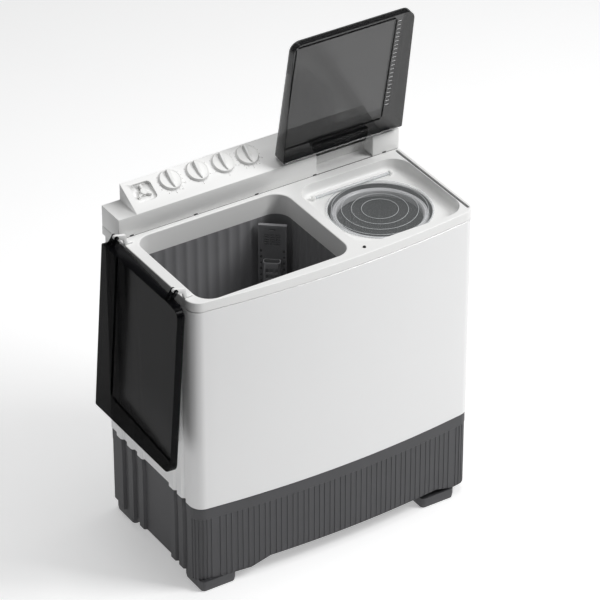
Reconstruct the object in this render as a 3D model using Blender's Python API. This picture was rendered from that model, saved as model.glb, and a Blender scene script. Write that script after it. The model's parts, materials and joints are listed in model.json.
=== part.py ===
"""Twin-tub washing machine: cabinet, two tubs and their drives, console, and two hinged lids.

Metres, +Z up. The cabinet frame has x = 0 at its left side, y = 0 at the front corners, z = 0 at the
floor, +Y towards the back. Everything hangs on one empty that centres the whole machine on the origin.
"""

import bmesh
import bpy
from math import asin, atan2, cos, degrees, pi, radians, sin
from mathutils import Matrix, Vector

# Whole machine
WIDTH = 0.920
DEPTH = 0.486
DECK_TOP = 0.965
PLINTH_TOP = 0.280
GAP = 0.0003  # between pieces that touch
WALL = 0.003  # moulded walls
CORNER = 0.040  # front corners in plan
BOW = 0.0275  # how far the front stands out at mid width
ARC_STEPS = 5

# Side pilasters, shared by the cabinet and the plinth
PILASTER_DEPTH = 0.008
PILASTER_HALF = 0.012
PILASTER_FLANK = 0.005
PILASTERS_Y = (0.096, 0.140, 0.315, 0.372, 0.430)
SIDE_STEP_Y = 0.060

# Plinth and feet
PLINTH_LOW = 0.034
PLINTH_ARCH = 0.020
PLINTH_INSET = 0.003
PLINTH_WALL = 0.004
ARCH_START = 0.170
ARCH_RAMP = 0.060
FOOT_LENGTH = 0.114
FOOT_DEPTH = 0.100
FOOT_SIDE = 0.012
FOOT_RIGHT_SIDE = 0.053

# Deck
DECK_SKIRT = 0.030
WASH_RIM = 0.034  # deck left of the wash opening
WASH_LENGTH = 0.480
WASH_FRONT = 0.004
WASH_REAR = 0.376
WASH_CORNER = 0.050
COLLAR_DEPTH = 0.065
BRIDGE = 0.031  # deck between the wash opening and the spin recess
RECESS_RIM = 0.020  # deck right of the spin recess
RECESS_FRONT = 0.015
RECESS_REAR = 0.362
RECESS_CORNER = 0.060
RECESS_DEPTH = 0.035
SPIN_HOLE_RADIUS = 0.147

# Wash tub and its drive
WASH_TUB_DEPTH = 0.600  # from the deck's top to the tub's underside
TUB_WALL = 0.004
TUB_DRAFT = 0.006
PULSATOR_RADIUS = 0.150
PULSATOR_HEIGHT = 0.034
HUB_RADIUS = 0.018
GEARBOX_RADIUS = 0.062
GEARBOX_HEIGHT = 0.072
OUTPUT_SHAFT_RADIUS = 0.008
BIG_PULLEY_RADIUS = 0.080
SMALL_PULLEY_RADIUS = 0.022
PULLEY_HEIGHT = 0.016
BELT_THICKNESS = 0.005
BELT_HEIGHT = 0.009
WASH_MOTOR_RADIUS = 0.055
WASH_MOTOR_HEIGHT = 0.080
BRACKET_PLATE = 0.004
MOTOR_OFFSET_X = 0.165
MOTOR_OFFSET_Y = -0.085

# Overflow cover and lint filter in the wash tub's rear right corner
OVERFLOW_HALF_WIDTH = 0.040
OVERFLOW_THICKNESS = 0.012
OVERFLOW_LIFT = 0.091  # cover's foot above the tub's floor
OVERFLOW_FROM_CORNER = (0.052, 0.038)  # from the opening's corner to the cover's middle
OVERFLOW_TURN = -38.7  # degrees about Z
LOUVRES = 5
LOUVRE_PITCH = 0.0075
FILTER_WIDTH = 0.050
FILTER_HEIGHT = 0.105
FILTER_DEPTH = 0.024
FILTER_DROP = 0.185  # filter top below the deck's top
FILTER_WALL = 0.0025

# Spin tub, basket and drive
SPIN_TUB_RADIUS = 0.166
SPIN_TUB_DEPTH = 0.565
BASKET_RADIUS = 0.136
BASKET_CLEARANCE = 0.045  # basket floor above the tub's floor
BASKET_TOP_DROP = 0.066
BASKET_WALL = 0.003
BASKET_COLUMNS = 10
BASKET_ROWS = 3
BASKET_HOLE = 0.006
RING_HEIGHT = 0.022
RING_WIDTH = 0.024
SHAFT_RADIUS = 0.008
BELLOWS_RADIUS = 0.045
SPIN_MOTOR_RADIUS = 0.065
SPIN_MOTOR_HEIGHT = 0.110
MOUNT_RADIUS = 0.014
MOUNT_HEIGHT = 0.050
MOUNT_CIRCLE = 0.088
BRAKE_RADIUS = 0.045
BRAKE_HEIGHT = 0.022

# Console
CONSOLE_FRONT = 0.392
CONSOLE_HEIGHT = 0.064
WEDGE_LEFT = 0.058
WEDGE_RIGHT = 0.059
WEDGE_RISE = 0.051
KNOBS_X = (0.200, 0.288, 0.371, 0.450)
KNOB_NAMES = ("wash_timer_knob", "wash_mode_knob", "drain_knob", "spin_timer_knob")
KNOB_UP_SLOPE = 0.069  # knob centres from the slope's lower edge
KNOB_RADIUS = 0.034
KNOB_SKIRT = 0.009
KNOB_GRIP = 0.020
SPINDLE_RADIUS = 0.004
POCKET_X = 0.1115
POCKET_LENGTH = 0.065
POCKET_WIDTH = 0.060
POCKET_DEPTH = 0.010
POCKET_UP_SLOPE = 0.061
TIMER_NAMES = ("wash_timer", "wash_mode_switch", "drain_selector", "spin_timer")
TIMER_LENGTH = 0.036
TIMER_DEPTH = 0.018

# Lids
LID_REST = 0.003  # lid rims above the deck
LID_REAR = 0.388
LID_FRONT = -0.020
LID_REAR_HEIGHT = 0.050
LID_FRONT_HEIGHT = 0.024
LID_WALL = 0.003
LID_CORNER = 0.030
WASH_LID_OVERHANG = 0.006
WASH_LID_LENGTH = 0.523
LID_PITCH_GAP = 0.004  # between the two lids
SPIN_LID_MARGIN = 0.002
WASH_PIVOT_CLEARANCE = 0.023  # from the pivot to the cabinet's side, less the lid's height
WASH_PIVOT_RISE = 0.033
WASH_OPEN_ANGLE = 266.0
SPIN_PIVOT_Y = 0.426
SPIN_PIVOT_RISE = 0.0505
SPIN_OPEN_ANGLE = 82.0
PIN_RADIUS = 0.0035
BOSS_RADIUS = 0.0065
BRACKET_WIDTH = 0.010
BRACKETS_Y = (0.050, 0.366)
TONGUE_LEFT = 0.647
TONGUE_RIGHT = 0.826
NOTCH_CLEARANCE = 0.005
NOTCH_REAR = 0.441
VENTS = 22
VENT_PITCH = 0.0145
VENT_LENGTH = 0.014
VENT_WIDTH = 0.004
COVER_THICKNESS = 0.003
COVER_PIVOT_INSET = 0.0095  # cover's hinge inside its round edge
COVER_PIVOT_RISE = 0.0062
COVER_LAP = 0.005
COVER_BARREL_INSET = 0.028

# Back of the machine
BACK_VENTS = 8
SPIGOT_RADIUS = 0.013
SPIGOT_REACH = 0.026

# Places worked out from the sizes above
WASH_LEFT = WASH_RIM
WASH_RIGHT = WASH_RIM + WASH_LENGTH
RECESS_LEFT = WASH_RIGHT + BRIDGE
RECESS_RIGHT = WIDTH - RECESS_RIM
RECESS_FLOOR = DECK_TOP - RECESS_DEPTH
SPIN_X = (RECESS_LEFT + RECESS_RIGHT) / 2
SPIN_Y = (RECESS_FRONT + RECESS_REAR) / 2
COVER_PIVOT_Y = SPIN_Y + SPIN_HOLE_RADIUS + COVER_LAP - COVER_PIVOT_INSET
WASH_X = (WASH_LEFT + WASH_RIGHT) / 2
WASH_Y = (WASH_FRONT + WASH_REAR) / 2
SKIRT_LOW = DECK_TOP - DECK_SKIRT
COLLAR_LOW = DECK_TOP - COLLAR_DEPTH
PLINTH_FLOOR = PLINTH_LOW + PLINTH_ARCH + PLINTH_WALL
WASH_TUB_LOW = DECK_TOP - WASH_TUB_DEPTH
SPIN_TUB_LOW = DECK_TOP - SPIN_TUB_DEPTH
BASKET_LOW = SPIN_TUB_LOW + BASKET_CLEARANCE
BASKET_TOP = DECK_TOP - BASKET_TOP_DROP
GEARBOX_LOW = WASH_TUB_LOW - GAP - GEARBOX_HEIGHT
MOTOR_LOW = WASH_TUB_LOW - BRACKET_PLATE - 2 * GAP - WASH_MOTOR_HEIGHT
PULLEY_TOP = MOTOR_LOW - 0.004
CONSOLE_TOP = DECK_TOP + CONSOLE_HEIGHT
REAR_FACE = DEPTH
SLOPE_RUN = DEPTH - CONSOLE_FRONT
SLOPE = atan2(WEDGE_RISE, SLOPE_RUN)
LID_LOW = DECK_TOP + LID_REST
SPIN_LID_LEFT = WASH_LID_LENGTH - WASH_LID_OVERHANG + LID_PITCH_GAP
SPIN_LID_RIGHT = WIDTH - SPIN_LID_MARGIN
WASH_PIVOT_X = WASH_PIVOT_CLEARANCE - LID_REAR_HEIGHT
WASH_PIVOT_Z = DECK_TOP + WASH_PIVOT_RISE
SPIN_PIVOT_Z = DECK_TOP + SPIN_PIVOT_RISE
wash_swing = radians(WASH_OPEN_ANGLE)
OPEN_LID_LEFT = (
    WASH_PIVOT_X
    + (WASH_LID_LENGTH - WASH_LID_OVERHANG - WASH_PIVOT_X) * cos(wash_swing)
    - (LID_LOW - WASH_PIVOT_Z) * sin(wash_swing)
)
CENTRE_X = (WIDTH + OPEN_LID_LEFT) / 2
CENTRE_Y = (REAR_FACE + SPIGOT_REACH - BOW) / 2


for old in list(bpy.data.objects):
    bpy.data.objects.remove(old)
machine = bpy.data.collections.new("twin_tub_washing_machine")
cutters = bpy.data.collections.new("cutters")
for collection in (machine, cutters):
    bpy.context.scene.collection.children.link(collection)
centre = bpy.data.objects.new("machine_centre", None)
centre.location = (-CENTRE_X, -CENTRE_Y, 0)
machine.objects.link(centre)


def plastic(name, colour, roughness, metallic=0.0, alpha=1.0):
    """A Principled material with one colour."""
    made = bpy.data.materials.new(name)
    made.use_nodes = True
    shader = made.node_tree.nodes["Principled BSDF"]
    shader.inputs["Base Color"].default_value = (*colour, 1)
    shader.inputs["Roughness"].default_value = roughness
    shader.inputs["Metallic"].default_value = metallic
    shader.inputs["Alpha"].default_value = alpha
    return made


WHITE = plastic("white_plastic", (0.80, 0.80, 0.80), 0.35)
PAINT = plastic("white_paint", (0.78, 0.78, 0.78), 0.35)
CHARCOAL = plastic("charcoal_plastic", (0.075, 0.075, 0.078), 0.50)
GREY = plastic("grey_plastic", (0.16, 0.16, 0.165), 0.45)
SMOKE = plastic("smoked_plastic", (0.015, 0.015, 0.017), 0.12, alpha=0.75)
CLEAR = plastic("clear_plastic", (0.70, 0.72, 0.74), 0.08, alpha=0.35)
BLACK = plastic("black_plastic", (0.02, 0.02, 0.02), 0.45)
RUBBER = plastic("black_rubber", (0.02, 0.02, 0.02), 0.75)
STEEL = plastic("steel", (0.55, 0.55, 0.56), 0.35, 1.0)
ZINC = plastic("zinc_plate", (0.50, 0.51, 0.52), 0.45, 1.0)
CASTING = plastic("die_casting", (0.45, 0.45, 0.46), 0.50, 1.0)


def keep(mesh, name, material, cutter=False):
    """An object for this mesh, among the parts or among the cutters."""
    made = bpy.data.objects.new(name, mesh)
    (cutters if cutter else machine).objects.link(made)
    made.parent = centre
    if cutter:
        made.hide_render = True
        made.display_type = "WIRE"
    else:
        mesh.materials.clear()
        mesh.materials.append(material)
        mesh.shade_smooth()
        mesh.set_sharp_from_angle(angle=radians(35))
    return made


def mesh_of(bm, name, matrix=Matrix()):
    """The bmesh as a mesh, its doubles merged and its faces turned outwards."""
    bmesh.ops.remove_doubles(bm, verts=bm.verts, dist=1e-6)
    bmesh.ops.transform(bm, matrix=matrix, verts=bm.verts)
    bmesh.ops.recalc_face_normals(bm, faces=bm.faces)
    mesh = bpy.data.meshes.new(name)
    bm.to_mesh(mesh)
    bm.free()
    return mesh


AXES = {
    "X": Matrix(((0, 0, 1, 0), (1, 0, 0, 0), (0, 1, 0, 0), (0, 0, 0, 1))),
    "Y": Matrix(((1, 0, 0, 0), (0, 0, -1, 0), (0, 1, 0, 0), (0, 0, 0, 1))),
    "Z": Matrix(),
}


def prism(name, loops, low, high, material=None, axis="Z", matrix=Matrix()):
    """A flat outline with holes, extruded from low to high along an axis. It is a cutter without a
    material. Its points are (x, y) for Z, (y, z) for X and (x, z) for Y."""
    curve = bpy.data.curves.new(name, "CURVE")
    curve.dimensions = "2D"
    curve.fill_mode = "BOTH"
    curve.extrude = (high - low) / 2
    for loop in loops:
        spline = curve.splines.new("POLY")
        spline.points.add(len(loop) - 1)
        for point, (u, v) in zip(spline.points, loop):
            point.co = (u, v, 0, 1)
        spline.use_cyclic_u = True
    guide = bpy.data.objects.new(name + "_outline", curve)
    cutters.objects.link(guide)
    graph = bpy.context.evaluated_depsgraph_get()
    bm = bmesh.new()
    bm.from_mesh(bpy.data.meshes.new_from_object(guide.evaluated_get(graph)))
    bpy.data.objects.remove(guide)
    middle = {"X": ((low + high) / 2, 0, 0), "Y": (0, (low + high) / 2, 0), "Z": (0, 0, (low + high) / 2)}
    place = matrix @ Matrix.Translation(middle[axis]) @ AXES[axis]
    return keep(mesh_of(bm, name, place), name, material, material is None)


def box(name, low, high, material=None, matrix=Matrix()):
    """A box between two corners."""
    size = [b - a for a, b in zip(low, high)]
    middle = [(a + b) / 2 for a, b in zip(low, high)]
    bm = bmesh.new()
    bmesh.ops.create_cube(bm, size=1, matrix=Matrix.Translation(middle) @ Matrix.Diagonal((*size, 1)))
    return keep(mesh_of(bm, name, matrix), name, material, material is None)


def rod(name, start, end, radius, material=None, steps=16, end_radius=None, matrix=Matrix()):
    """A cylinder or a cone between two points."""
    start, end = Vector(start), Vector(end)
    along = end - start
    turn = Vector((0, 0, 1)).rotation_difference(along).to_matrix().to_4x4()
    place = matrix @ Matrix.Translation((start + end) / 2) @ turn
    bm = bmesh.new()
    bmesh.ops.create_cone(
        bm,
        cap_ends=True,
        segments=steps,
        radius1=radius,
        radius2=radius if end_radius is None else end_radius,
        depth=along.length,
    )
    return keep(mesh_of(bm, name, place), name, material, material is None)


def turned(name, profile, x, y, material=None, steps=32):
    """A closed (radius, z) profile turned about a vertical axis."""
    bm = bmesh.new()
    points = [bm.verts.new((radius, 0, z)) for radius, z in profile]
    for i, point in enumerate(points):
        onward = points[(i + 1) % len(points)]
        if point.co.x > 0 or onward.co.x > 0:
            bm.edges.new((point, onward))
    bmesh.ops.spin(
        bm,
        geom=bm.edges[:] + bm.verts[:],
        cent=(0, 0, 0),
        axis=(0, 0, 1),
        angle=2 * pi,
        steps=steps,
        use_merge=True,
    )
    return keep(mesh_of(bm, name, Matrix.Translation((x, y, 0))), name, material, material is None)


def loft(name, sections, material=None):
    """A closed solid through (outline, z) sections that have the same number of points."""
    bm = bmesh.new()
    rings = [[bm.verts.new((u, v, z)) for u, v in outline] for outline, z in sections]
    for ring in rings:
        for a, b in zip(ring, ring[1:] + ring[:1]):
            bm.edges.new((a, b))
    for lower, upper in zip(rings, rings[1:]):
        edges = [e for e in bm.edges if all(v in lower for v in e.verts) or all(v in upper for v in e.verts)]
        bmesh.ops.bridge_loops(bm, edges=edges)
    for ring in (rings[0], rings[-1]):
        bm.faces.new(ring)
    return keep(mesh_of(bm, name), name, material, material is None)


def combine(operation, piece, others):
    for other in others:
        if other.name in machine.objects:
            machine.objects.unlink(other)
            cutters.objects.link(other)
            other.hide_render = True
            other.display_type = "WIRE"
        modifier = piece.modifiers.new(operation.lower(), "BOOLEAN")
        modifier.operation = operation
        modifier.object = other
    return piece


def cut(piece, *others):
    return combine("DIFFERENCE", piece, others)


def fuse(piece, *others):
    return combine("UNION", piece, others)


def common(piece, *others):
    return combine("INTERSECT", piece, others)


def origin_to(piece, place):
    """Moves a piece's origin onto its joint's axis, its shape left where it is."""
    piece.data.transform(Matrix.Translation(-Vector(place)))
    piece.location = place
    return piece


def turn_open(piece, place, axis, angle):
    """Turns a piece that was modelled closed about its hinge, as it stands when open."""
    origin_to(piece, place)
    piece.rotation_euler["XYZ".index(axis)] = radians(angle)
    return piece


def arc(x, y, radius, start, end, steps=ARC_STEPS):
    turns = [radians(start + (end - start) * i / steps) for i in range(steps + 1)]
    return [(x + radius * cos(t), y + radius * sin(t)) for t in turns]


def circle(x, y, radius, steps=32):
    return arc(x, y, radius, 0, 360, steps)[:-1]


def rounded(x0, y0, x1, y1, radius, steps=ARC_STEPS):
    """A rectangle with round corners."""
    return (
        arc(x0 + radius, y0 + radius, radius, 180, 270, steps)
        + arc(x1 - radius, y0 + radius, radius, 270, 360, steps)
        + arc(x1 - radius, y1 - radius, radius, 0, 90, steps)
        + arc(x0 + radius, y1 - radius, radius, 90, 180, steps)
    )


def bowed_front(inset, corner=CORNER):
    """The front's plan from the left side to the right side: a round corner, a shallow bow, a corner."""
    half_chord = WIDTH / 2 - corner
    bow_radius = (half_chord**2 + BOW**2) / (2 * BOW)
    lean = degrees(asin(half_chord / bow_radius))
    r = corner - inset
    left = arc(corner, corner, r, 180, 270 - lean)
    right = arc(WIDTH - corner, corner, r, 270 + lean, 360)
    bow = arc(WIDTH / 2, bow_radius - BOW, bow_radius - inset, 270 - lean, 270 + lean, 10)
    return left + bow[1:-1] + right


def side_ridges(inset, rear):
    """(distance in from the side, y) down one side, from the back to the front corner."""
    deep = PILASTER_DEPTH + inset
    points = [(deep, rear)]
    for y in reversed(PILASTERS_Y):
        foot = PILASTER_HALF + PILASTER_FLANK
        points += [(deep, y + foot), (inset, y + PILASTER_HALF), (inset, y - PILASTER_HALF), (deep, y - foot)]
    return points + [(deep, SIDE_STEP_Y + PILASTER_FLANK), (inset, SIDE_STEP_Y)]


def ridged_plan(inset, rear):
    """The cabinet's plan from its rear left corner round the front to its rear right corner."""
    side = side_ridges(inset, rear)
    return side + bowed_front(inset) + [(WIDTH - x, y) for x, y in reversed(side)]


def plain_plan(inset, rear):
    return [(inset, rear)] + bowed_front(inset) + [(WIDTH - inset, rear)]


# Cabinet wrap, open at the back, with a flange down each rear edge
BACK_FLANGE = 0.018
outer = ridged_plan(0, DEPTH)
inner = ridged_plan(WALL, DEPTH - WALL)
flange = PILASTER_DEPTH + BACK_FLANGE
wrap = outer + [(WIDTH - flange, DEPTH), (WIDTH - flange, DEPTH - WALL)]
wrap += list(reversed(inner)) + [(flange, DEPTH - WALL), (flange, DEPTH)]
prism("front_cabinet", [wrap], PLINTH_TOP + GAP, SKIRT_LOW - GAP, PAINT)

# Back panel, inside the flanges, with rows of vents
BACK_LOW = PLINTH_TOP + GAP
PANEL_THICKNESS = 0.002
panel_left = PILASTER_DEPTH + WALL + 0.004
panel_rear = DEPTH - WALL - GAP
back = box(
    "back_panel",
    (panel_left, panel_rear - PANEL_THICKNESS, BACK_LOW),
    (WIDTH - panel_left, panel_rear, SKIRT_LOW - GAP),
    ZINC,
)
VENT_SLOT = (0.110, 0.005)
for row in range(BACK_VENTS):
    low = BACK_LOW + 0.090 + 0.014 * row
    for x in (WIDTH * 0.25, WIDTH * 0.75):
        left = x - VENT_SLOT[0] / 2
        cut(
            back,
            box(
                "back_vent", (left, panel_rear - 0.01, low), (left + VENT_SLOT[0], DEPTH, low + VENT_SLOT[1])
            ),
        )

# Plinth: a tray with an arched underside between the feet
plinth = prism(
    "base_plinth", [ridged_plan(PLINTH_INSET, DEPTH - PLINTH_INSET)], PLINTH_LOW, PLINTH_TOP, CHARCOAL
)
hollow = ridged_plan(PLINTH_INSET + PLINTH_WALL, DEPTH - PLINTH_INSET - PLINTH_WALL)
cut(plinth, prism("plinth_hollow", [hollow], PLINTH_FLOOR, PLINTH_TOP + 0.01))
arch_end = WIDTH - ARCH_START - 0.030
arch = [
    (ARCH_START, PLINTH_LOW - 0.01),
    (ARCH_START, PLINTH_LOW),
    (ARCH_START + ARCH_RAMP, PLINTH_LOW + PLINTH_ARCH),
    (arch_end - ARCH_RAMP, PLINTH_LOW + PLINTH_ARCH),
    (arch_end, PLINTH_LOW),
    (arch_end, PLINTH_LOW - 0.01),
]
cut(plinth, prism("plinth_arch", [arch], -0.1, DEPTH + 0.1, axis="Y"))

# Four feet under the plinth's corners
FOOT_FRONT = -0.004
foot_left = FOOT_SIDE
foot_right = WIDTH - FOOT_RIGHT_SIDE - FOOT_LENGTH
foot_rear = DEPTH - PLINTH_INSET - 0.006 - FOOT_DEPTH
for side, x in (("left", foot_left), ("right", foot_right)):
    for end, y in (("front", FOOT_FRONT), ("rear", foot_rear)):
        upper = rounded(x, y, x + FOOT_LENGTH, y + FOOT_DEPTH, 0.012, 3)
        lower = rounded(x + 0.004, y + 0.003, x + FOOT_LENGTH - 0.004, y + FOOT_DEPTH - 0.003, 0.010, 3)
        loft(f"foot_{end}_{side}", [(lower, 0), (upper, 0.010), (upper, PLINTH_LOW - GAP)], CHARCOAL)

# Deck: a top plate, its outer skirt, the wash collar, and the sunken spin recess
wash_hole = rounded(WASH_LEFT, WASH_FRONT, WASH_RIGHT, WASH_REAR, WASH_CORNER)
collar_out = rounded(
    WASH_LEFT - WALL, WASH_FRONT - WALL, WASH_RIGHT + WALL, WASH_REAR + WALL, WASH_CORNER + WALL
)
recess_in = rounded(RECESS_LEFT, RECESS_FRONT, RECESS_RIGHT, RECESS_REAR, RECESS_CORNER)
recess_out = rounded(
    RECESS_LEFT - WALL, RECESS_FRONT - WALL, RECESS_RIGHT + WALL, RECESS_REAR + WALL, RECESS_CORNER + WALL
)
spin_hole = circle(SPIN_X, SPIN_Y, SPIN_HOLE_RADIUS)
plate_low = DECK_TOP - WALL
deck = prism("top_deck", [plain_plan(0, DEPTH)], SKIRT_LOW, DECK_TOP, WHITE)
cut(deck, prism("deck_hollow", [plain_plan(WALL, DEPTH - WALL)], SKIRT_LOW - 0.01, plate_low))
fuse(
    deck,
    prism("wash_collar", [collar_out], COLLAR_LOW, DECK_TOP - 0.001),
    prism("recess_body", [recess_out], RECESS_FLOOR - WALL, DECK_TOP - 0.001),
)
cut(
    deck,
    prism("wash_opening", [wash_hole], COLLAR_LOW - 0.01, DECK_TOP + 0.01),
    prism("recess_hollow", [recess_in], RECESS_FLOOR, DECK_TOP + 0.01),
    prism("spin_opening", [spin_hole], RECESS_FLOOR - 0.02, RECESS_FLOOR + 0.02),
)

# Wash tub: a drafted box with a bore for the pulsator hub
tub_out = rounded(
    WASH_LEFT - TUB_WALL,
    WASH_FRONT - TUB_WALL,
    WASH_RIGHT + TUB_WALL,
    WASH_REAR + TUB_WALL,
    WASH_CORNER + TUB_WALL,
)
tub_low_out = rounded(
    WASH_LEFT + TUB_DRAFT - TUB_WALL,
    WASH_FRONT + TUB_DRAFT - TUB_WALL,
    WASH_RIGHT - TUB_DRAFT + TUB_WALL,
    WASH_REAR - TUB_DRAFT + TUB_WALL,
    WASH_CORNER + TUB_WALL,
)
tub_low_in = rounded(
    WASH_LEFT + TUB_DRAFT, WASH_FRONT + TUB_DRAFT, WASH_RIGHT - TUB_DRAFT, WASH_REAR - TUB_DRAFT, WASH_CORNER
)
tub_top = COLLAR_LOW - GAP
wash_tub = loft("wash_tub", [(tub_low_out, WASH_TUB_LOW), (tub_out, tub_top)], GREY)
cut(wash_tub, loft("wash_tub_hollow", [(tub_low_in, WASH_TUB_LOW + TUB_WALL), (wash_hole, tub_top + 0.0001)]))
cut(
    wash_tub,
    rod("hub_bore", (WASH_X, WASH_Y, WASH_TUB_LOW - 0.01), (WASH_X, WASH_Y, WASH_TUB_LOW + 0.02), HUB_RADIUS),
)

# Pulsator: a dished disc with four vanes, on the gearbox's output shaft
PULSATOR_LOW = WASH_TUB_LOW + TUB_WALL + 0.008
DISC_THICKNESS = 0.006
dish = [
    (0, PULSATOR_LOW),
    (0, PULSATOR_LOW + 0.022),
    (0.030, PULSATOR_LOW + 0.018),
    (PULSATOR_RADIUS * 0.6, PULSATOR_LOW + DISC_THICKNESS),
    (PULSATOR_RADIUS, PULSATOR_LOW + DISC_THICKNESS + 0.006),
    (PULSATOR_RADIUS, PULSATOR_LOW + 0.004),
    (PULSATOR_RADIUS * 0.6, PULSATOR_LOW),
]
pulsator = turned("pulsator", dish, WASH_X, WASH_Y, GREY, 32)
for i in range(4):
    spoke = Matrix.Translation((WASH_X, WASH_Y, 0)) @ Matrix.Rotation(i * pi / 2, 4, "Z")
    vane = [(0.012, PULSATOR_LOW + 0.003), (PULSATOR_RADIUS - 0.012, PULSATOR_LOW + 0.003)]
    vane += [(PULSATOR_RADIUS - 0.020, PULSATOR_LOW + 0.018), (0.040, PULSATOR_LOW + PULSATOR_HEIGHT)]
    vane += [(0.012, PULSATOR_LOW + PULSATOR_HEIGHT)]
    fuse(pulsator, prism("pulsator_vane", [vane], -0.007, 0.007, axis="Y", matrix=spoke))
shaft_bore = OUTPUT_SHAFT_RADIUS + GAP
cut(pulsator, rod("pulsator_bore", (WASH_X, WASH_Y, 0), (WASH_X, WASH_Y, PULSATOR_LOW + 0.016), shaft_bore))
origin_to(pulsator, (WASH_X, WASH_Y, PULSATOR_LOW))
cap_low = PULSATOR_LOW + PULSATOR_HEIGHT + GAP
cap = turned(
    "pulsator_cap",
    [(0, cap_low), (0, cap_low + 0.008), (0.010, cap_low + 0.007), (0.014, cap_low)],
    WASH_X,
    WASH_Y,
    GREY,
    20,
)
origin_to(cap, (WASH_X, WASH_Y, cap_low))

# Gearbox under the tub, with its output shaft up and its input shaft down
gearbox = turned(
    "wash_gearbox",
    [
        (0, GEARBOX_LOW),
        (0, WASH_TUB_LOW - GAP),
        (GEARBOX_RADIUS + 0.018, WASH_TUB_LOW - GAP),
        (GEARBOX_RADIUS + 0.018, WASH_TUB_LOW - 0.006),
        (GEARBOX_RADIUS, WASH_TUB_LOW - 0.006),
        (GEARBOX_RADIUS, GEARBOX_LOW + 0.008),
        (GEARBOX_RADIUS - 0.010, GEARBOX_LOW),
    ],
    WASH_X,
    WASH_Y,
    CASTING,
    24,
)
bearing_bore = rod("bearing_bore", (WASH_X, WASH_Y, GEARBOX_LOW + 0.020), (WASH_X, WASH_Y, 1), shaft_bore)
cut(
    gearbox,
    bearing_bore,
    rod("input_bore", (WASH_X, WASH_Y, 0), (WASH_X, WASH_Y, GEARBOX_LOW + 0.014), shaft_bore),
)
output_shaft = rod(
    "output_shaft",
    (WASH_X, WASH_Y, GEARBOX_LOW + 0.020 + GAP),
    (WASH_X, WASH_Y, PULSATOR_LOW + 0.016 - GAP),
    OUTPUT_SHAFT_RADIUS,
    STEEL,
)
origin_to(output_shaft, (WASH_X, WASH_Y, WASH_TUB_LOW))


def pulley(name, x, y, radius, spindle_top):
    """A grooved pulley whose spindle goes up into what drives it or what it drives."""
    low = PULLEY_TOP - PULLEY_HEIGHT
    groove = radius - BELT_THICKNESS
    middle = PULLEY_TOP - PULLEY_HEIGHT / 2
    groove_half = BELT_HEIGHT / 2 + 0.0005
    profile = [
        (0, low),
        (0, spindle_top),
        (OUTPUT_SHAFT_RADIUS - 0.001, spindle_top),
        (OUTPUT_SHAFT_RADIUS - 0.001, PULLEY_TOP),
        (radius, PULLEY_TOP),
        (radius, middle + groove_half),
        (groove, middle + groove_half),
        (groove, middle - groove_half),
        (radius, middle - groove_half),
        (radius, low),
    ]
    return origin_to(turned(name, profile, x, y, CASTING, 24), (x, y, middle))


MOTOR_X = WASH_X + MOTOR_OFFSET_X
MOTOR_Y = WASH_Y + MOTOR_OFFSET_Y
pulley("gearbox_pulley", WASH_X, WASH_Y, BIG_PULLEY_RADIUS, GEARBOX_LOW + 0.014 - GAP)
pulley("motor_pulley", MOTOR_X, MOTOR_Y, SMALL_PULLEY_RADIUS, MOTOR_LOW + 0.012)


def belt_outline(grow):
    """The tight loop round both pulleys' grooves, this far out from them."""
    run = Vector((MOTOR_OFFSET_X, MOTOR_OFFSET_Y))
    big = BIG_PULLEY_RADIUS - BELT_THICKNESS + grow
    small = SMALL_PULLEY_RADIUS - BELT_THICKNESS + grow
    heading = degrees(atan2(run.y, run.x))
    spread = degrees(asin((big - small) / run.length))
    return arc(WASH_X, WASH_Y, big, heading + 90 - spread, heading + 270 + spread, 24) + arc(
        MOTOR_X, MOTOR_Y, small, heading - 90 + spread, heading + 90 - spread, 10
    )


BELT_SLACK = 0.0008
belt_middle = PULLEY_TOP - PULLEY_HEIGHT / 2
prism(
    "drive_belt",
    [belt_outline(BELT_SLACK + BELT_THICKNESS), belt_outline(BELT_SLACK)],
    belt_middle - BELT_HEIGHT / 2,
    belt_middle + BELT_HEIGHT / 2,
    RUBBER,
)

# Wash motor on its bracket, which bolts to the tub's underside
wash_motor = turned(
    "wash_motor",
    [
        (0, MOTOR_LOW),
        (0, MOTOR_LOW + WASH_MOTOR_HEIGHT),
        (0.030, MOTOR_LOW + WASH_MOTOR_HEIGHT),
        (WASH_MOTOR_RADIUS, MOTOR_LOW + WASH_MOTOR_HEIGHT - 0.012),
        (WASH_MOTOR_RADIUS, MOTOR_LOW + 0.012),
        (0.030, MOTOR_LOW),
    ],
    MOTOR_X,
    MOTOR_Y,
    CASTING,
    24,
)
cut(
    wash_motor,
    rod("motor_bore", (MOTOR_X, MOTOR_Y, 0), (MOTOR_X, MOTOR_Y, MOTOR_LOW + 0.013), OUTPUT_SHAFT_RADIUS),
)

bracket_top = WASH_TUB_LOW - GAP
STRAP = 0.003
strap_from = WASH_MOTOR_RADIUS + GAP
motor_bracket = box(
    "wash_motor_bracket",
    (MOTOR_X - strap_from - STRAP, MOTOR_Y - 0.050, bracket_top - BRACKET_PLATE),
    (MOTOR_X + strap_from + STRAP, MOTOR_Y + 0.050, bracket_top),
    ZINC,
)
for side in (-1, 1):
    ends = sorted((side * strap_from, side * (strap_from + STRAP)))
    low = (MOTOR_X + ends[0], MOTOR_Y - 0.020, bracket_top - 0.060)
    high = (MOTOR_X + ends[1], MOTOR_Y + 0.020, bracket_top - 0.001)
    fuse(motor_bracket, box("bracket_strap", low, high))


def cubes(name, places):
    """One cutter made of many boxes, each given by its middle, its size and the frame it lies in."""
    bm = bmesh.new()
    for frame, middle, size in places:
        matrix = frame @ Matrix.Translation(middle) @ Matrix.Diagonal((*size, 1))
        bmesh.ops.create_cube(bm, size=1, matrix=matrix)
    return keep(mesh_of(bm, name), name, None, True)


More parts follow.
